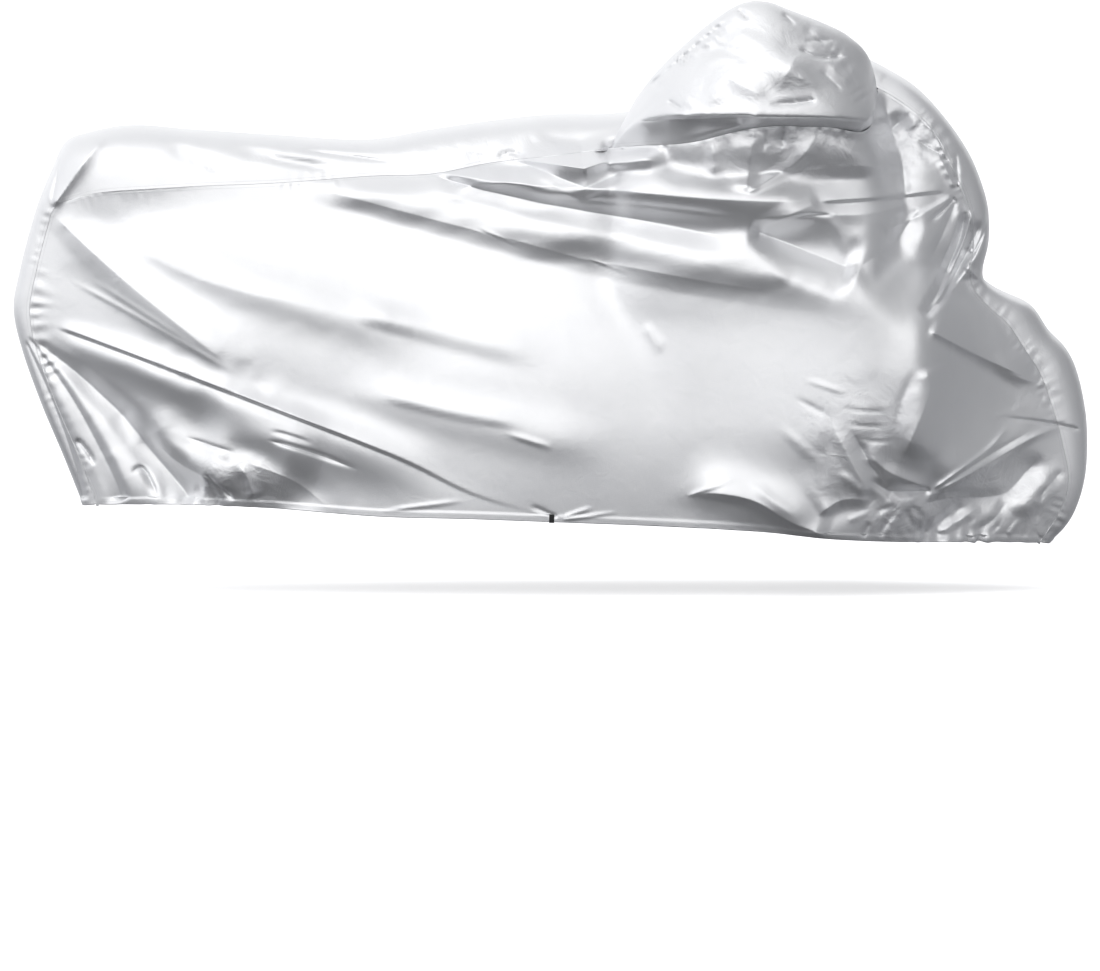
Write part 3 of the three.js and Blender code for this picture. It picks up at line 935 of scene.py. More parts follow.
NOSE = (
    Fold(((714, 526), (810, 478), (944, 416)), (60, 80), (26, 44), 17, SHARP, 0.08, 0.25),
    Fold(((709, 454), (719, 412), (706, 366), (668, 276)), (70, 70), (22, 48, 42, 12), 14, FACET, 0.12, 0.2),
    Fold(((656, 290), (660, 366), (690, 452)), (18, 18), (8, 8), -4, SHARP, 0.3, 0.3),
    Fold(((768, 570), (765, 447), (778, 244)), (4, 4), (4, 4), 1.4, SHARP, 0.1, 0.1),
    Fold(((718, 386), (816, 383)), (4, 4), (4, 4), 1.4, SHARP, 0.1, 0.1),
    Fold(((-874, 644), (-874, 548)), (4, 4), (4, 4), 1.2, SHARP, 0.2, 0.2),
    Fold(((730, 209), (787, 249), (846, 289), (890, 336)), (10, 14), (10, 13), 6, SHARP, 0.1, 0.3),
    Fold(((736, 204), (850, 262), (940, 310), (1006, 330)), (12, 18), (12, 16), 7, SHARP, 0.1, 0.25),
    Fold(((770, 230), (860, 283), (930, 320)), (8, 10), (8, 10), -5, SHARP, 0.3, 0.3),
    Fold(((866, 349), (945, 339), (1038, 320)), (7, 9), (8, 10), -7, SHARP, 0.25, 0.1),
    Fold(
        ((704, 178), (765, 191), (873, 194), (927, 244), (962, 274)),
        (14, 24, 18), (28, 44, 30), -9, FACET, 0.1, 0.25,
    ),
    Fold(((708, 114), (756, 150), (800, 181)), (18, 20), (30, 34), -8, FACET, 0.15, 0.3),
    Fold(((808, 118), (855, 145), (890, 190)), (16, 18), (26, 30), -7, FACET, 0.15, 0.3),
    Fold(((742, 120), (830, 172)), (16, 18), (14, 16), 7, FACET, 0.15, 0.3),
    Fold(((900, 150), (986, 236)), (40, 40), (30, 30), 8, SOFT, 0.3, 0.3),
    Fold(((940, 130), (960, 220)), (8, 10), (8, 10), -4, SHARP, 0.3, 0.4),
    Fold(
        ((582, 274), (612, 267), (648, 244), (726, 210)),
        (50, 80, 50), (6, 24, 40, 18, 6), 19, FACET, 0.2, 0.2, fanned=True,
    ),
    Fold(((600, 236), (648, 208), (730, 206)), (10, 30, 8), (14, 18), -9, FACET, 0.2, 0.1),
    Fold(((520, 356), (560, 280), (604, 200)), (24, 24), (20, 24), 6, FACET, 0.4, 0.1),
    Fold(((566, 330), (600, 270), (640, 214)), (12, 14), (12, 14), -6, SHARP, 0.3, 0.3),
    Fold(((508, 330), (516, 214)), (10, 12), (10, 12), -3, SHARP, 0.4, 0.3),
    Fold(((500, 160), (549, 191), (610, 190)), (90, 110), (16, 32, 20), 16, SHARP, 0.25, 0.25),
    Fold(((540, 250), (600, 198)), (14, 14), (14, 14), 4, FACET, 0.3, 0.3),
    Fold(((636, 206), (672, 178)), (8, 9), (9, 10), -3.4, FACET),
    Fold(((646, 138), (668, 172)), (9, 9), (9, 9), 3, FACET),
    Fold(((676, 172), (694, 132)), (9, 9), (10, 10), -4, FACET),
    Fold(((684, 182), (720, 150)), (8, 8), (11, 11), -4, FACET),
    Fold(((682, 188), (716, 206)), (9, 9), (9, 9), 3, FACET),
    Fold(((616, 166), (662, 182)), (9, 9), (12, 12), -4, FACET),
    Fold(((624, 118), (642, 152)), (9, 9), (10, 10), -4, FACET),
    Fold(((590, 116), (606, 150)), (9, 9), (10, 10), -3.4, FACET),
    Fold(((560, 150), (606, 168)), (8, 8), (10, 10), 3, FACET),
    Fold(((846, 116), (872, 138)), (8, 8), (9, 9), -3.4, FACET),
    Fold(((884, 112), (914, 150)), (9, 9), (11, 11), 3.4, FACET),
    Fold(((940, 180), (1000, 246)), (14, 16), (18, 20), -6, FACET),
    Fold(
        ((246, 198), (302, 204), (378, 190), (452, 148), (524, 120)),
        (110, 130), (10, 28, 32), 14, SHARP, 0.25, 0.1,
    ),
    Fold(((244, 197), (350, 237)), (8, 9), (7, 8), 3, SHARP, 0.2, 0.5),
    Fold(((360, 232), (470, 150)), (18, 22), (14, 18), 3.5, FACET, 0.4, 0.3),
    Fold(((860, 440), (1000, 398)), (12, 14), (12, 14), 3.5, SHARP, 0.3, 0.3),
    Fold(((810, 336), (930, 372)), (9, 10), (9, 10), 2.5, SHARP, 0.3, 0.3),
    Fold(((540, 374), (596, 366), (646, 366)), (6, 6), (7, 7), -2, SHARP, 0.4, 0.4),
    Fold(((548, 344), (604, 336), (648, 342)), (6, 6), (8, 8), -2.4, SHARP, 0.4, 0.4),
    Fold(((570, 316), (620, 306), (656, 312)), (6, 6), (8, 8), -2.4, SHARP, 0.4, 0.4),
)

MIDDLE = (
    Fold(((-360, 398), (-200, 362), (-48, 340)), (26, 40), (14, 24), 5, SOFT),
    Fold(((-110, 323), (-8, 291)), (12, 14), (10, 12), 4, SHARP, 0.4, 0.4),
    Fold(((-420, 566), (-210, 514), (0, 470)), (42, 72), (28, 48), 7, SOFT),
    Fold(((164, 534), (204, 480)), (10, 14), (12, 16), 3, SOFT),
    Fold(((8, 158), (66, 177)), (6, 8), (6, 8), 3.5, SHARP, 0.1, 0.4),
    Fold(((-60, 180), (-4, 156)), (10, 6), (10, 6), -4, SHARP, 0.3, 0.1),
    Fold(((4, 152), (120, 168)), (6, 8), (6, 8), 3, SHARP, 0.1, 0.5),
    Fold(((420, 342), (520, 250)), (16, 20), (14, 18), 2.5, FACET, 0.4, 0.4),
    Fold(((450, 396), (530, 352)), (10, 12), (10, 12), -2.5, SHARP, 0.4, 0.4),
    Fold(((470, 430), (560, 400)), (10, 12), (10, 12), 2, SHARP, 0.4, 0.4),
)

POCKET = (
    Fold(((344, 1148), (366, 1124)), (12, 9), (10, 8), -8, SHARP, 0.2, 0.3),
    Fold(((430, 1140), (456, 1114)), (9, 9), (9, 9), -5, SHARP, 0.3, 0.3),
    Fold(((245, 1054), (305, 1070), (350, 1058), (396, 1042)), (14, 16), (22, 24), -6, SOFT, 0.3, 0.3),
    Fold(((340, 1064), (378, 1050)), (6, 6), (6, 6), 3, SHARP, 0.3, 0.3),
    Fold(((470, 1082), (492, 1085), (536, 1087)), (8, 8), (7, 7), -6, SHARP, 0.25, 0.25),
    Fold(((460, 1070), (500, 1052), (558, 1056)), (16, 18), (8, 8), -11, SHARP, 0.15, 0.2),
    Fold(((462, 1064), (440, 1026), (418, 978)), (84, 90), (90, 90), 22, FACET, 0.35, 0.65),
    Fold(((398, 960), (450, 962), (498, 970)), (16, 14), (8, 8), -8, SHARP, 0.3, 0.2),
    Fold(((284, 950), (322, 1012), (404, 972)), (30, 40), (20, 40, 20), 7, FACET, 0.2, 0.2, True),
    Fold(((206, 972), (240, 948)), (10, 11), (9, 10), -6, SHARP, 0.3, 0.3),
    Fold(((234, 978), (262, 952)), (9, 10), (9, 10), 4, FACET, 0.3, 0.3),
    Fold(((330, 1104), (400, 1070)), (22, 24), (20, 22), 4, FACET, 0.3, 0.3),
    Fold(((500, 1030), (548, 984)), (14, 14), (12, 12), -5, SHARP, 0.3, 0.3),
    Fold(((516, 1040), (566, 1000)), (12, 12), (12, 12), 5, FACET, 0.3, 0.3),
    Fold(((452, 1018), (500, 994)), (12, 12), (12, 12), 3.5, FACET, 0.3, 0.3),
)

MOUTH = (
    Fold(
        ((148, 930), (200, 934), (280, 936), (376, 936)),
        (5, 5), (34, 58, 58, 34, 14), -20, FACET, 0.25, 0.15,
    ),
    Fold(((206, 934), (280, 936), (376, 936)), (5, 5), (54, 34, 14), -30, FACET, 0.45, 0.2),
)

POCKET_SEAMS = (
    Pucker(168, 994, 330, 1130, 6, 27, 17),
    Pucker(470, 1112, 552, 1046, 3.5, 24, 17),
    Pucker(548, 1050, 596, 952, 3.5, 24, 17),
)

SIDE_FOLDS = (*TAIL, *SADDLE, *UNDER_BAR, *COWL, *NOSE, *MIDDLE)

SIDE_CRUMPLES = (
    Crumple(672, 158, 96, 60, 2.4, 30),
    Crumple(880, 200, 170, 120, 1.6, 56),
    Crumple(-640, 216, 130, 80, 2.2, 50),
    Crumple(590, 300, 170, 170, 1.0, 56),
    Crumple(-180, 880, 240, 50, 1.2, 60),
    Crumple(460, 870, 260, 80, 1.4, 60),
    Crumple(690, 890, 110, 70, 2.4, 34),
    Crumple(880, 420, 150, 170, 0.8, 60),
)

POCKET_CRUMPLES = (Crumple(390, 1030, 250, 130, 1.4, 66),)

GATHERS = (
    Gather(Edge.HEM, 490, 1010, 4.5, 34, 40, 0, 0.3),
    Gather(Edge.HEM, -980, -560, 4, 34, 36, 0, 0.35),
    Gather(Edge.HEM, -620, 540, 0.8, 70, 50, 0, 0.3),
    Gather(Edge.SPINE, -1100, -960, 2.4, 26, 30, 6, 0.3),
    Gather(Edge.SPINE, -1000, 240, 0.9, 23, 16, 6, 0.4),
    Gather(Edge.SPINE, 560, 1060, 2.2, 20, 20, 6, 0.25),
    Gather(Edge.SIDE, -1100, 300, 0.8, 22, 16, 6, 0.45),
    Gather(Edge.SIDE, 560, 1060, 1.6, 20, 20, 6, 0.3),
    Gather(Edge.POCKET, 80, 640, 2.0, 21, 22, 6, 0.25),
)


class Border:
    """Stretches of a panel's edge that meet the same thing."""

    def __init__(self, chains: Sequence[np.ndarray]) -> None:
        """Lays the chains of places end to end."""
        starts, ends, offsets = [], [], []
        run = 0.0
        for chain in chains:
            lengths = np.linalg.norm(np.diff(chain, axis=0), axis=1)
            starts.append(chain[:-1])
            ends.append(chain[1:])
            offsets.append(run + np.concatenate(([0.0], np.cumsum(lengths)[:-1])))
            run += lengths.sum() + CHAIN_GAP
        self.starts = np.concatenate(starts)
        self.ends = np.concatenate(ends)
        self.offsets = np.concatenate(offsets)
        self.tree = tree_of((self.starts + self.ends) / 2)

    def measure(self, points: np.ndarray) -> tuple[np.ndarray, np.ndarray]:
        """Finds each point's place along the border and its distance from it.

        Args:
            points: The points.

        Returns:
            Places along the border, and distances.
        """
        nearest = np.array([self.tree.find(point)[1] for point in points])
        start, run = self.starts[nearest], self.ends[nearest] - self.starts[nearest]
        length = np.maximum(np.linalg.norm(run, axis=1), TINY)
        share = np.clip(((points - start) * run).sum(axis=1) / length**2, 0.0, 1.0)
        away = np.linalg.norm(points - start - run * share[:, None], axis=1)
        return self.offsets[nearest] + share * length, away


@dataclass
class Skin:
    """The outer skin of a packed panel, refined to a fine even grid.

    Faces with a side shorter than rim are the panel's thickness. Edges that turn by more than hard are held
    when the skin is rounded. It is cut finer within fold_reach of a line, in millimetres, along its border,
    and once more within crisp_reach of a line that lifts the cloth by crisp or more.
    """

    name: str
    node: str
    rim: float
    crisp: float
    hard: float = 0.9
    held: float = 0.8
    levels: int = 2
    passes: int = 3
    smoothings: int = 4
    fold_reach: float = 42.0
    crisp_reach: float = 7.0
    border_reach: float = 50.0 * MM
    least_crumple: float = 0.01

    def outer(self) -> bpy.types.Object:
        """Takes the panel's outer faces and joins them into quads.

        Returns:
            The coarse skin.
        """
        mesh = opened(bpy.data.objects[self.node].data)
        bmesh.ops.remove_doubles(mesh, verts=mesh.verts[:], dist=WELD)
        rim = [face for face in mesh.faces if min(edge.calc_length() for edge in face.edges) < self.rim]
        bmesh.ops.delete(mesh, geom=rim, context="FACES")
        mesh.normal_update()
        islands = sorted(self.islands(mesh), key=self.outwardness)
        for island in islands[:-1]:
            bmesh.ops.delete(mesh, geom=island, context="FACES")
        bmesh.ops.join_triangles(
            mesh, faces=mesh.faces[:], angle_face_threshold=math.pi, angle_shape_threshold=math.pi
        )
        hold = mesh.edges.layers.float.new("crease_edge")
        for edge in mesh.edges:
            if len(edge.link_faces) == 2 and edge.calc_face_angle() > self.hard:
                edge[hold] = self.held
        return placed(self.name, mesh)

    @staticmethod
    def islands(mesh: bmesh.types.BMesh) -> list[list[bmesh.types.BMFace]]:
        """Finds the groups of faces that hang together, in an order that each run repeats.

        Args:
            mesh: The mesh.

        Returns:
            The groups.
        """
        left = dict.fromkeys(mesh.faces)
        groups = []
        while left:
            wave = [left.popitem()[0]]
            group = []
            while wave:
                face = wave.pop()
                group.append(face)
                for edge in face.edges:
                    for other in edge.link_faces:
                        if other in left:
                            del left[other]
                            wave.append(other)
            groups.append(group)
        return groups

    @staticmethod
    def outwardness(group: Sequence[bmesh.types.BMFace]) -> float:
        """Measures how far a group's faces look away from its middle and from the cover's middle plane.

        Args:
            group: The faces.

        Returns:
            The measure.
        """
        middle = sum((face.calc_center_median() for face in group), Vector()) / len(group)
        middle.y *= 0.5
        return sum(face.normal.dot(face.calc_center_median() - middle) * face.calc_area() for face in group)

    def refined(self, folds: FoldSet) -> bpy.types.Object:
        """Rounds the coarse skin through its own corners and cuts it finer where it folds.

        Args:
            folds: The panel's folds.

        Returns:
            The fine skin.
        """
        made = self.outer()
        modifier = made.modifiers.new("round", "SUBSURF")
        modifier.levels = modifier.render_levels = self.levels
        modifier.boundary_smooth = "PRESERVE_CORNERS"
        corners = read(made.data.vertices, "co", 3)
        moved = corners.copy()
        for _ in range(self.passes):
            rounded = self.evaluated(made)
            moved += corners - read(rounded.vertices, "co", 3)[: len(corners)]
            bpy.data.meshes.remove(rounded)
            made.data.vertices.foreach_set("co", moved.ravel())
            made.data.update()
        rounded = self.evaluated(made)
        made.modifiers.clear()
        made.data = rounded
        mesh = opened(made.data)

        def folded(points: np.ndarray) -> np.ndarray:
            """Finds which places in metres are near a fold or crumpled."""
            return folds.close(points, 0.0, self.fold_reach) | (folds.crumpled(points) > self.least_crumple)

        self.cut(mesh, folded, True)
        self.cut(mesh, lambda points: folds.close(points, self.crisp, self.crisp_reach), False)
        inside = [vert for vert in mesh.verts if not vert.is_boundary]
        for _ in range(self.smoothings):
            bmesh.ops.smooth_vert(
                mesh, verts=inside, factor=0.5, use_axis_x=True, use_axis_y=True, use_axis_z=True
            )
        mesh.to_mesh(made.data)
        mesh.free()
        return made

    def cut(self, mesh: bmesh.types.BMesh, chosen: Callable[[np.ndarray], np.ndarray], rim: bool) -> None:
        """Cuts the chosen faces' edges in half.

        Args:
            mesh: The skin.
            chosen: Tells for places in metres whether the skin is cut there.
            rim: Whether a strip along the border is cut too.
        """
        mesh.verts.index_update()
        points = np.array([vert.co[:] for vert in mesh.verts])
        fine = chosen(points)
        if rim:
            tree = tree_of([vert.co for vert in mesh.verts if vert.is_boundary])
            fine |= np.array([tree.find(point)[2] < self.border_reach for point in points])
        edges = [edge for edge in mesh.edges if all(fine[vert.index] for vert in edge.verts)]
        bmesh.ops.subdivide_edges(mesh, edges=edges, cuts=1, use_grid_fill=True)

    @staticmethod
    def evaluated(made: bpy.types.Object) -> bpy.types.Mesh:
        """Applies an object's modifiers to a new mesh.

        Args:
            made: The object.

        Returns:
            The mesh.
        """
        graph = bpy.context.evaluated_depsgraph_get()
        graph.update()
        return bpy.data.meshes.new_from_object(made.evaluated_get(graph))


@dataclass
class ClothPanel:
    """A panel of the cover: one layer of cloth, its hem turned in and its seam allowance lapped under."""

    node: str
    flat: tuple[float, float]
    area: float
    hangs_from: tuple[str, ...]
    folds: FoldSet
    still: tuple[Edge, ...]
    laps: tuple[Edge, ...] = ()
    crossing: FoldSet = FoldSet(())
    rim: float = 3.0 * MM
    crisp: float = 5.0
    hem: float = 11.0
    hem_lift: float = 1.4
    still_reach: float = 34.0
    middle: float = 30.0
    seam_gap: float = 4.0 * MM
    inland: float = 40.0
    hem_ease: float = 4.0
    lap_steps: Pairs = ((0.6 * MM, 0.5 * MM), (1.0 * MM, 5.0 * MM))
    hem_steps: Pairs = ((1.2 * MM, 0.7 * MM), (2.4 * MM, 0.0), (2.4 * MM, -15.0 * MM))

    def build(self, finish: bpy.types.Material) -> bpy.types.Object:
        """Builds the panel and ties it to the frame.

        Args:
            finish: The cloth's material.

        Returns:
            The panel.
        """
        lines = replace(self.folds, folds=self.folds.folds + self.crossing.folds)
        made = Skin(f"{self.node}_cloth", self.node, self.rim, self.crisp).refined(lines)
        meets = self.meets(made)
        borders = self.borders(made, meets)
        self.drape(made, borders)
        self.fold_under(made, meets, self.laps, self.lap_steps, True)
        self.fold_under(made, meets, (Edge.HEM,), self.hem_steps, False)
        self.map_weave(made)
        self.map_border(made, borders)
        self.map_crumples(made)
        smooth(made)
        made.data.materials.clear()
        made.data.materials.append(finish)
        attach(made, "root")
        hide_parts(self.node)
        triangles = sum(len(polygon.vertices) - 2 for polygon in made.data.polygons)
        LOG.info("%s: %d triangles", made.name, triangles)
        return made

    def meets(self, made: bpy.types.Object) -> dict[int, Edge]:
        """Finds what each vertex of the panel's border meets.

        Args:
            made: The panel, before it is folded.

        Returns:
            The edges by the vertices' numbers.
        """
        mesh = opened(made.data)
        others = {node: self.surface(node) for node in PANELS if node != self.node}
        found = {}
        for number, vert in enumerate(mesh.verts):
            if not vert.is_boundary:
                continue
            spans = {node: tree.find_nearest(vert.co)[3] for node, tree in others.items()}
            nearest = min(spans, key=spans.get)
            kinds = [edge for edge in Edge if nearest.startswith(edge.value)]
            found[number] = kinds[0] if spans[nearest] < self.seam_gap else Edge.HEM
        mesh.free()
        return found

    @staticmethod
    def surface(node: str) -> BVHTree:
        """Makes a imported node's surface ready to measure from.

        Args:
            node: The node.

        Returns:
            The surface.
        """
        mesh = opened(bpy.data.objects[node].data)
        made = BVHTree.FromBMesh(mesh)
        mesh.free()
        return made

    def borders(self, made: bpy.types.Object, meets: dict[int, Edge]) -> dict[Edge, Border]:
        """Measures the stretches of the panel's border.

        Args:
            made: The panel.
            meets: What each vertex of its border meets.

        Returns:
            The borders by what they meet.
        """
        mesh = opened(made.data)
        mesh.verts.index_update()
        mesh.edges.index_update()
        left = {edge for edge in mesh.edges if edge.is_boundary}
        chains: dict[Edge, list[np.ndarray]] = {}
        while left:
            first = min(left, key=lambda edge: edge.index)
            left.remove(first)
            path = list(first.verts)
            onward = [edge for edge in path[-1].link_edges if edge in left]
            while onward:
                left.remove(onward[0])
                path.append(onward[0].other_vert(path[-1]))
                onward = [edge for edge in path[-1].link_edges if edge in left]
            self.split(path, meets, chains)
        mesh.free()
        return {edge: Border(found) for edge, found in chains.items()}

    @staticmethod
    def split(
        path: Sequence[bmesh.types.BMVert],
        meets: dict[int, Edge],
        chains: dict[Edge, list[np.ndarray]],
    ) -> None:
        """Splits a loop of the border where what it meets changes.

        Args:
            path: The loop's vertices in order.
            meets: What each vertex meets.
            chains: The chains so far, added to.
        """
        start = 0
        for place in range(1, len(path) + 1):
            if place == len(path) or meets[path[place].index] is not meets[path[start].index]:
                chain = path[start : min(place + 1, len(path))]
                if len(chain) > 1:
                    line = np.array([vert.co[:] for vert in chain])
                    chains.setdefault(meets[path[start].index], []).append(line)
                start = place

    def drape(self, made: bpy.types.Object, borders: dict[Edge, Border]) -> None:
        """Folds the cloth along its lines and gathers it along its borders.

        Args:
            made: The panel.
            borders: Its borders.
        """
        data = made.data
        points = read(data.vertices, "co", 3)
        normals = read(data.vertex_normals, "vector", 3, np.float32)
        before = points.copy()
        left = points[:, 1] / MM
        folded = self.folds.lift(points) * ease((np.abs(left) - self.middle) / self.middle)
        lift = np.zeros(len(points))
        measured = {edge: border.measure(points) for edge, border in borders.items()}
        for edge in self.still:
            folded *= ease(measured[edge][1] / MM / self.still_reach)
        seams = [away / MM for edge, (_, away) in measured.items() if edge is not Edge.HEM]
        inland = ease(np.min(seams, axis=0) / self.inland)
        for gather in GATHERS:
            if gather.edge in measured:
                along, away = measured[gather.edge]
                found = gather.height(points[:, 0] / MM, along / MM, away / MM)
                lift += found * inland if gather.edge is Edge.HEM else found
        if Edge.HEM in measured:
            past = (measured[Edge.HEM][1] / MM - self.hem) / self.hem_ease
            lift += self.hem_lift * inland * (1.0 - ease(past))
        points += normals * (lift * MM)[:, None]
        points[:, 1] += np.sign(left) * (folded + self.crossing.lift(before)) * MM
        data.vertices.foreach_set("co", points.ravel())
        data.update()

    @staticmethod
    def fold_under(
        made: bpy.types.Object,
        meets: dict[int, Edge],
        edges: tuple[Edge, ...],
        steps: Pairs,
        sewn: bool,
    ) -> None:
        """Folds a strip of the cloth in behind its border.

        Args:
            made: The panel.
            meets: What each vertex of its border meets.
            edges: Which stretches of its border.
            steps: How far each row of the strip lies behind the cloth and beyond its border.
            sewn: Whether the border is a seam, which shows as a sharp line.
        """
        mesh = opened(made.data)
        mesh.normal_update()
        mesh.verts.index_update()
        border = [
            edge
            for edge in mesh.edges
            if edge.is_boundary and all(meets.get(vert.index) in edges for vert in edge.verts)
        ]
        outward: dict[bmesh.types.BMVert, Vector] = {}
        for edge in border:
            middle = (edge.verts[0].co + edge.verts[1].co) / 2
            run = (edge.verts[1].co - edge.verts[0].co).normalized()
            step = middle - edge.link_faces[0].calc_center_median()
            step -= run * step.dot(run)
            edge.smooth = not sewn
            for vert in edge.verts:
                outward[vert] = outward.get(vert, Vector()) + step.normalized()
        way = {
            vert: (vert.co.copy(), step.normalized(), vert.normal.copy()) for vert, step in outward.items()
        }
        for sink, reach in steps:
            if not border:
                break
            grown = bmesh.ops.extrude_edge_only(mesh, edges=border)["geom"]
            fresh = {}
            for vert in (item for item in grown if isinstance(item, bmesh.types.BMVert)):
                beside = (edge.other_vert(vert) for edge in vert.link_edges)
                parent = next(other for other in beside if other in way)
                place, step, normal = way[parent]
                vert.co = place + step * reach - normal * sink
                fresh[vert] = way[parent]
            border = [item for item in grown if isinstance(item, bmesh.types.BMEdge)]
            way = fresh
        mesh.to_mesh(made.data)
        mesh.free()

    @staticmethod
    def map_weave(made: bpy.types.Object) -> None:
        """Lays the cloth's weave over it, in metres.

        Args:
            made: The panel.
        """
        data = made.data
        normals = read(data.polygons, "normal", 3, np.float32)
        sizes = read(data.polygons, "loop_total", 1, np.int32)[:, 0]
        corners = read(data.loops, "vertex_index", 1, np.int32)[:, 0]
        flat = np.repeat(np.abs(normals).argmax(axis=1), sizes)
        first, second = np.array([1, 0, 0])[flat], np.array([2, 2, 1])[flat]
        places = read(data.vertices, "co", 3)[corners]
        rows = np.arange(len(corners))
        layer = data.uv_layers.new(name="cloth")
        layer.data.foreach_set("uv", np.stack((places[rows, first], places[rows, second]), axis=1).ravel())

    @staticmethod
    def map_border(made: bpy.types.Object, borders: dict[Edge, Border]) -> None:
        """Maps the places along the nearest border and the distances from it, in metres.

        Args:
            made: The panel.
            borders: Its borders.
        """
        data = made.data
        points = read(data.vertices, "co", 3)
        best = np.full((len(points), 2), np.inf)
        for border in borders.values():
            along, away = border.measure(points)
            closer = away < best[:, 1]
            best[closer] = np.stack((along, away), axis=1)[closer]
        corners = read(data.loops, "vertex_index", 1, np.int32)[:, 0]
        layer = data.uv_layers.new(name="border")
        layer.data.foreach_set("uv", best[corners].ravel())

    def map_crumples(self, made: bpy.types.Object) -> None:
        """Notes on each vertex of the panel how crumpled the cloth is there."""
        layer = made.data.attributes.new("crumpled", "FLOAT", "POINT")
        share = self.folds.crumpled(read(made.data.vertices, "co", 3))
        layer.data.foreach_set("value", share.astype(np.float32))


@dataclass
class HemTab:
    """A folded webbing tab on the hem, with rounded selvedges."""

    node: str
    selvedge: float = 0.5 * MM
    flat_angle: float = 0.05

    def build(self, finish: bpy.types.Material) -> bpy.types.Object:
        """Builds the tab and ties it to the frame.

        Args:
            finish: The webbing's material.

        Returns:
            The tab.
        """
        mesh = opened(bpy.data.objects[self.node].data)
        bmesh.ops.remove_doubles(mesh, verts=mesh.verts[:], dist=WELD)
        bmesh.ops.dissolve_limit(mesh, angle_limit=self.flat_angle, verts=mesh.verts[:], edges=mesh.edges[:])
        bmesh.ops.bevel(
            mesh,
            geom=mesh.edges[:],
            offset=self.selvedge,
            offset_type="OFFSET",
            affect="EDGES",
            segments=3,
            profile=0.5,
            material=-1,
        )
        made = placed(f"{self.node}_tape", mesh)
        smooth(made)
        made.data.materials.append(finish)
        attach(made, "root")
        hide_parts(self.node)
        LOG.info("%s: %d faces", made.name, len(made.data.polygons))
        return made


@dataclass(frozen=True)
class Lamp:
    """A square soft lamp that points at the cover."""

    name: str
    place: tuple[float, float, float]
    size: float
    power: float
    aim: tuple[float, float, float] = (0.0, 0.0, -0.35)

    def build(self) -> None:
        """Hangs the lamp."""
        data = bpy.data.lights.new(self.name, "AREA")
        data.shape = "SQUARE"
        data.size = self.size
        data.energy = self.power
        lamp = bpy.data.objects.new(self.name, data)
        lamp.location = self.place
        lamp.rotation_euler = (Vector(self.aim) - Vector(self.place)).to_track_quat("-Z", "Y").to_euler()
        bpy.context.scene.collection.objects.link(lamp)


@dataclass(frozen=True)
class Room:
    """Soft light of the room, by the way it comes from: bright above and dim below, and dim from ahead.

    Each table has the share of the way from one side to the other, and the light there: rise from below to
    above, rear at the tail, front for the light from ahead, by its height, ahead the share of that light, and
    behind for the far side.
    """

    strength: float = 1.06
    horizon: float = 0.45
    rise: Stops = (
        (0.0, (0.05, 0.051, 0.055)),
        (0.13, (0.09, 0.092, 0.10)),
        (0.20, (0.15, 0.153, 0.165)),
        (0.28, (0.28, 0.285, 0.30)),
        (0.365, (0.60, 0.605, 0.62)),
        (0.41, (0.85, 0.854, 0.865)),
        (0.45, (1.05, 1.053, 1.06)),
        (0.50, (1.25, 1.25, 1.255)),
        (0.55, (1.32, 1.32, 1.32)),
        (0.70, (1.20, 1.20, 1.205)),
        (0.85, (1.02, 1.022, 1.03)),
        (1.0, (0.86, 0.862, 0.87)),
    )
    rear: Stops = (
        (0.0, (0.80, 0.805, 0.82)),
        (0.25, (1.0, 1.0, 1.0)),
    )
    front: Stops = (
        (0.0, (0.12, 0.122, 0.13)),
        (0.20, (0.16, 0.163, 0.175)),
        (0.33, (0.33, 0.334, 0.345)),
        (0.45, (0.36, 0.364, 0.375)),
        (0.58, (0.29, 0.294, 0.305)),
        (1.0, (0.28, 0.284, 0.295)),
    )
    ahead: Stops = (
        (0.64, (0.0, 0.0, 0.0)),
        (0.69, (0.28, 0.28, 0.28)),
        (0.74, (0.64, 0.64, 0.64)),
        (0.80, (0.92, 0.92, 0.92)),
        (0.90, (1.0, 1.0, 1.0)),
    )
    behind: Stops = (
        (0.4, (1.0, 1.0, 1.0)),
        (0.7, (0.92, 0.923, 0.93)),
        (1.0, (0.88, 0.883, 0.89)),
    )

    def build(self) -> None:
        """Lights the room."""
        world = bpy.data.worlds.new("room")
        bpy.context.scene.world = world
        world.use_nodes = True
        graph = Graph(world.node_tree)
        ray = graph.wire("ShaderNodeTexCoord", None, None, "Generated")
        parts = graph.node("ShaderNodeSeparateXYZ", None, {0: ray})
        forward, left, up = (graph.out(parts, axis) * 0.5 for axis in "XYZ")
        light = graph.ramp(up + self.horizon, self.rise)
        rear = graph.ramp(forward + 0.5, self.rear)
        front = graph.ramp(up + 0.5, self.front)
        ahead = graph.ramp(forward + 0.5, self.ahead)
        behind = graph.ramp(left + 0.5, self.behind)
        layers = (("MULTIPLY", 1.0, rear), ("MIX", ahead, front), ("MULTIPLY", 1.0, behind))
        for blend, factor, other in layers:
            settings = {"data_type": "RGBA", "blend_type": blend}
            light = graph.wire("ShaderNodeMix", settings, {0: factor, 6: light, 7: other}, 2)
        shade = graph.node("ShaderNodeBackground", None, {"Color": light, "Strength": self.strength})
        graph.finish(shade, "ShaderNodeOutputWorld")


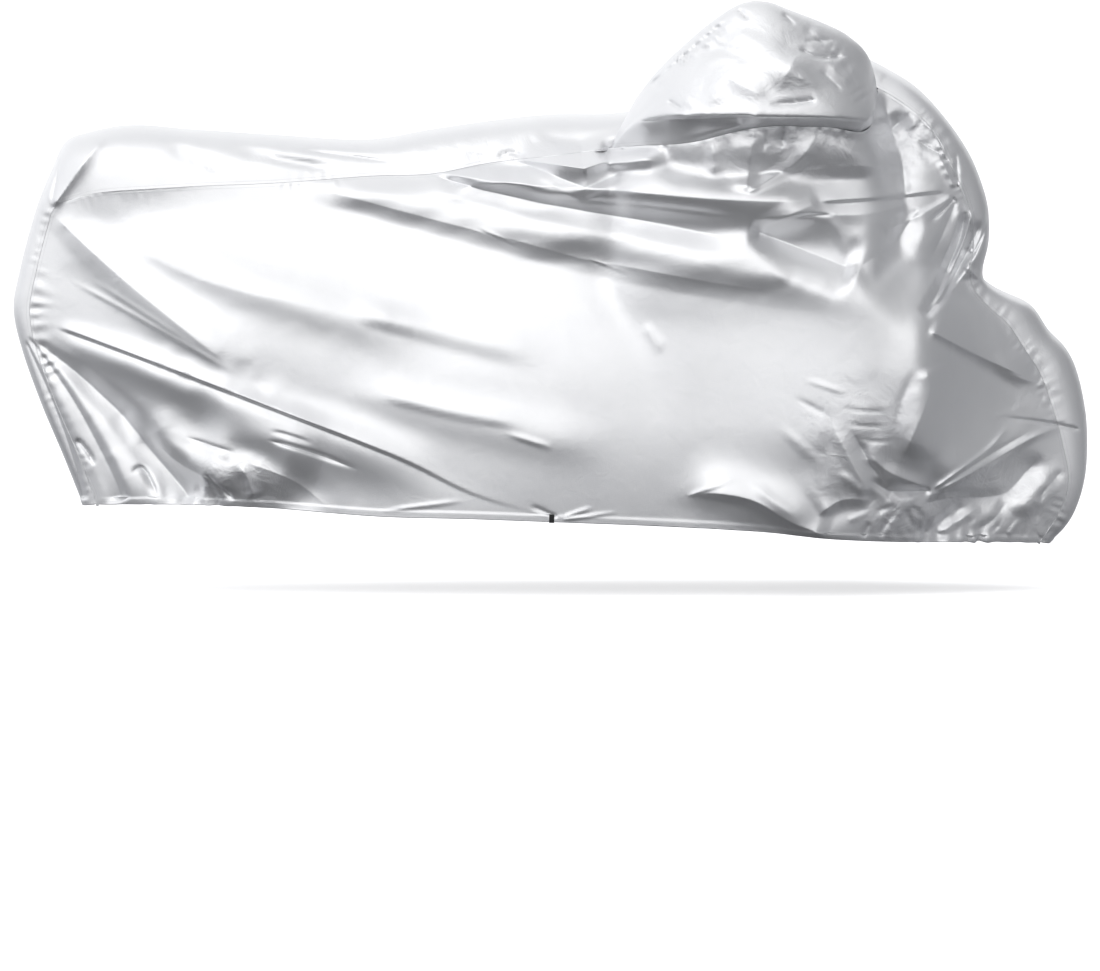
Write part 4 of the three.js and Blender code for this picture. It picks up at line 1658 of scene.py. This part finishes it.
@dataclass
class Stage:
    """Floor, light and camera."""

    floor_size: float = 60.0
    wall: float = 20.0
    bend: float = 4.0
    bend_steps: int = 12
    distance: float = 12.0
    eye: float = 0.76
    frame_width: float = 2.2
    aim: tuple[float, float] = (-0.020, 0.206)
    sensor: float = 36.0
    lamps: tuple[Lamp, ...] = (Lamp("key", (-3.6, -5.0, 4.2), 6.0, 70.0),)

    def build(self) -> None:
        """Builds the stage."""
        ground = -SADDLE_HEIGHT * MM
        mesh = bmesh.new()
        half = self.floor_size / 2
        line = [mesh.verts.new((-half, place, ground + height)) for place, height in self.sweep()]
        border = [mesh.edges.new(pair) for pair in zip(line, line[1:])]
        grown = bmesh.ops.extrude_edge_only(mesh, edges=border)["geom"]
        fresh = [item for item in grown if isinstance(item, bmesh.types.BMVert)]
        bmesh.ops.translate(mesh, verts=fresh, vec=(self.floor_size, 0.0, 0.0))
        bmesh.ops.recalc_face_normals(mesh, faces=mesh.faces[:])
        if mesh.faces[:][0].normal.z < 0.0:
            bmesh.ops.reverse_faces(mesh, faces=mesh.faces[:])
        floor = placed("floor", mesh)
        floor.data.materials.append(PaleFloor().material())
        smooth(floor)
        floor.visible_glossy = False
        floor.visible_diffuse = False
        Room().build()
        for lamp in self.lamps:
            lamp.build()
        self.camera(ground)
        LOG.info("stage")

    def sweep(self) -> list[tuple[float, float]]:
        """Lays out the floor's section, which curves up far behind the cover.

        Returns:
            Places to the left and heights.
        """
        turns = [math.pi / 2 * step / self.bend_steps for step in range(self.bend_steps + 1)]
        wall, bend = self.wall, self.bend
        curve = [(wall + bend * math.sin(turn), bend * (1.0 - math.cos(turn))) for turn in turns]
        return [(-self.floor_size / 2, 0.0), *curve, (wall + bend, self.floor_size / 2)]

    def camera(self, ground: float) -> None:
        """Sets the camera.

        Args:
            ground: Height of the floor.
        """
        data = bpy.data.cameras.new("camera")
        data.sensor_fit = "HORIZONTAL"
        data.sensor_width = self.sensor
        data.lens = data.sensor_width * self.distance / self.frame_width
        camera = bpy.data.objects.new("camera", data)
        eye = Vector((self.aim[0], -self.distance, ground + self.eye))
        target = Vector((self.aim[0], 0.0, ground + self.aim[1]))
        camera.location = eye
        camera.rotation_euler = (target - eye).to_track_quat("-Z", "Y").to_euler()
        bpy.context.scene.collection.objects.link(camera)
        bpy.context.scene.camera = camera


def main() -> None:
    """Builds the scene in order."""
    logging.basicConfig(level=logging.INFO, format="%(name)s %(message)s")
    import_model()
    silver = CoatedCloth().material()
    tape = Webbing().material()
    side_folds = FoldSet(SIDE_FOLDS, SIDE_CRUMPLES)
    pocket_folds = FoldSet(POCKET, POCKET_CRUMPLES, POCKET_SEAMS)
    sides = [
        ClothPanel(
            f"side_panel_{side}",
            flat=(2.10, 0.95),
            area=1.55,
            hangs_from=("spine_panel",),
            folds=side_folds,
            still=(Edge.POCKET,),
            crossing=FoldSet(MOUTH),
            rim=5.0 * MM,
        )
        for side in ("right", "left")
    ]
    spine = ClothPanel(
        "spine_panel",
        flat=(3.90, 0.46),
        area=1.25,
        hangs_from=("spine_panel",),
        folds=side_folds,
        still=(Edge.POCKET,),
        laps=(Edge.SIDE, Edge.POCKET),
    )
    pockets = [
        ClothPanel(
            f"mirror_pocket_{side}",
            flat=(0.62, 0.56),
            area=0.27,
            hangs_from=("spine_panel",),
            folds=pocket_folds,
            still=(Edge.SIDE, Edge.SPINE),
            laps=(Edge.SIDE,),
            crossing=FoldSet(MOUTH),
        )
        for side in ("right", "left")
    ]
    for panel in (*sides, spine, *pockets):
        panel.build(silver)
    for node in ("hem_tab_right", "hem_tab_left"):
        HemTab(node).build(tape)
    Stage().build()
    bpy.context.scene.view_settings.view_transform = "Standard"


if __name__ == "__main__":
    main()
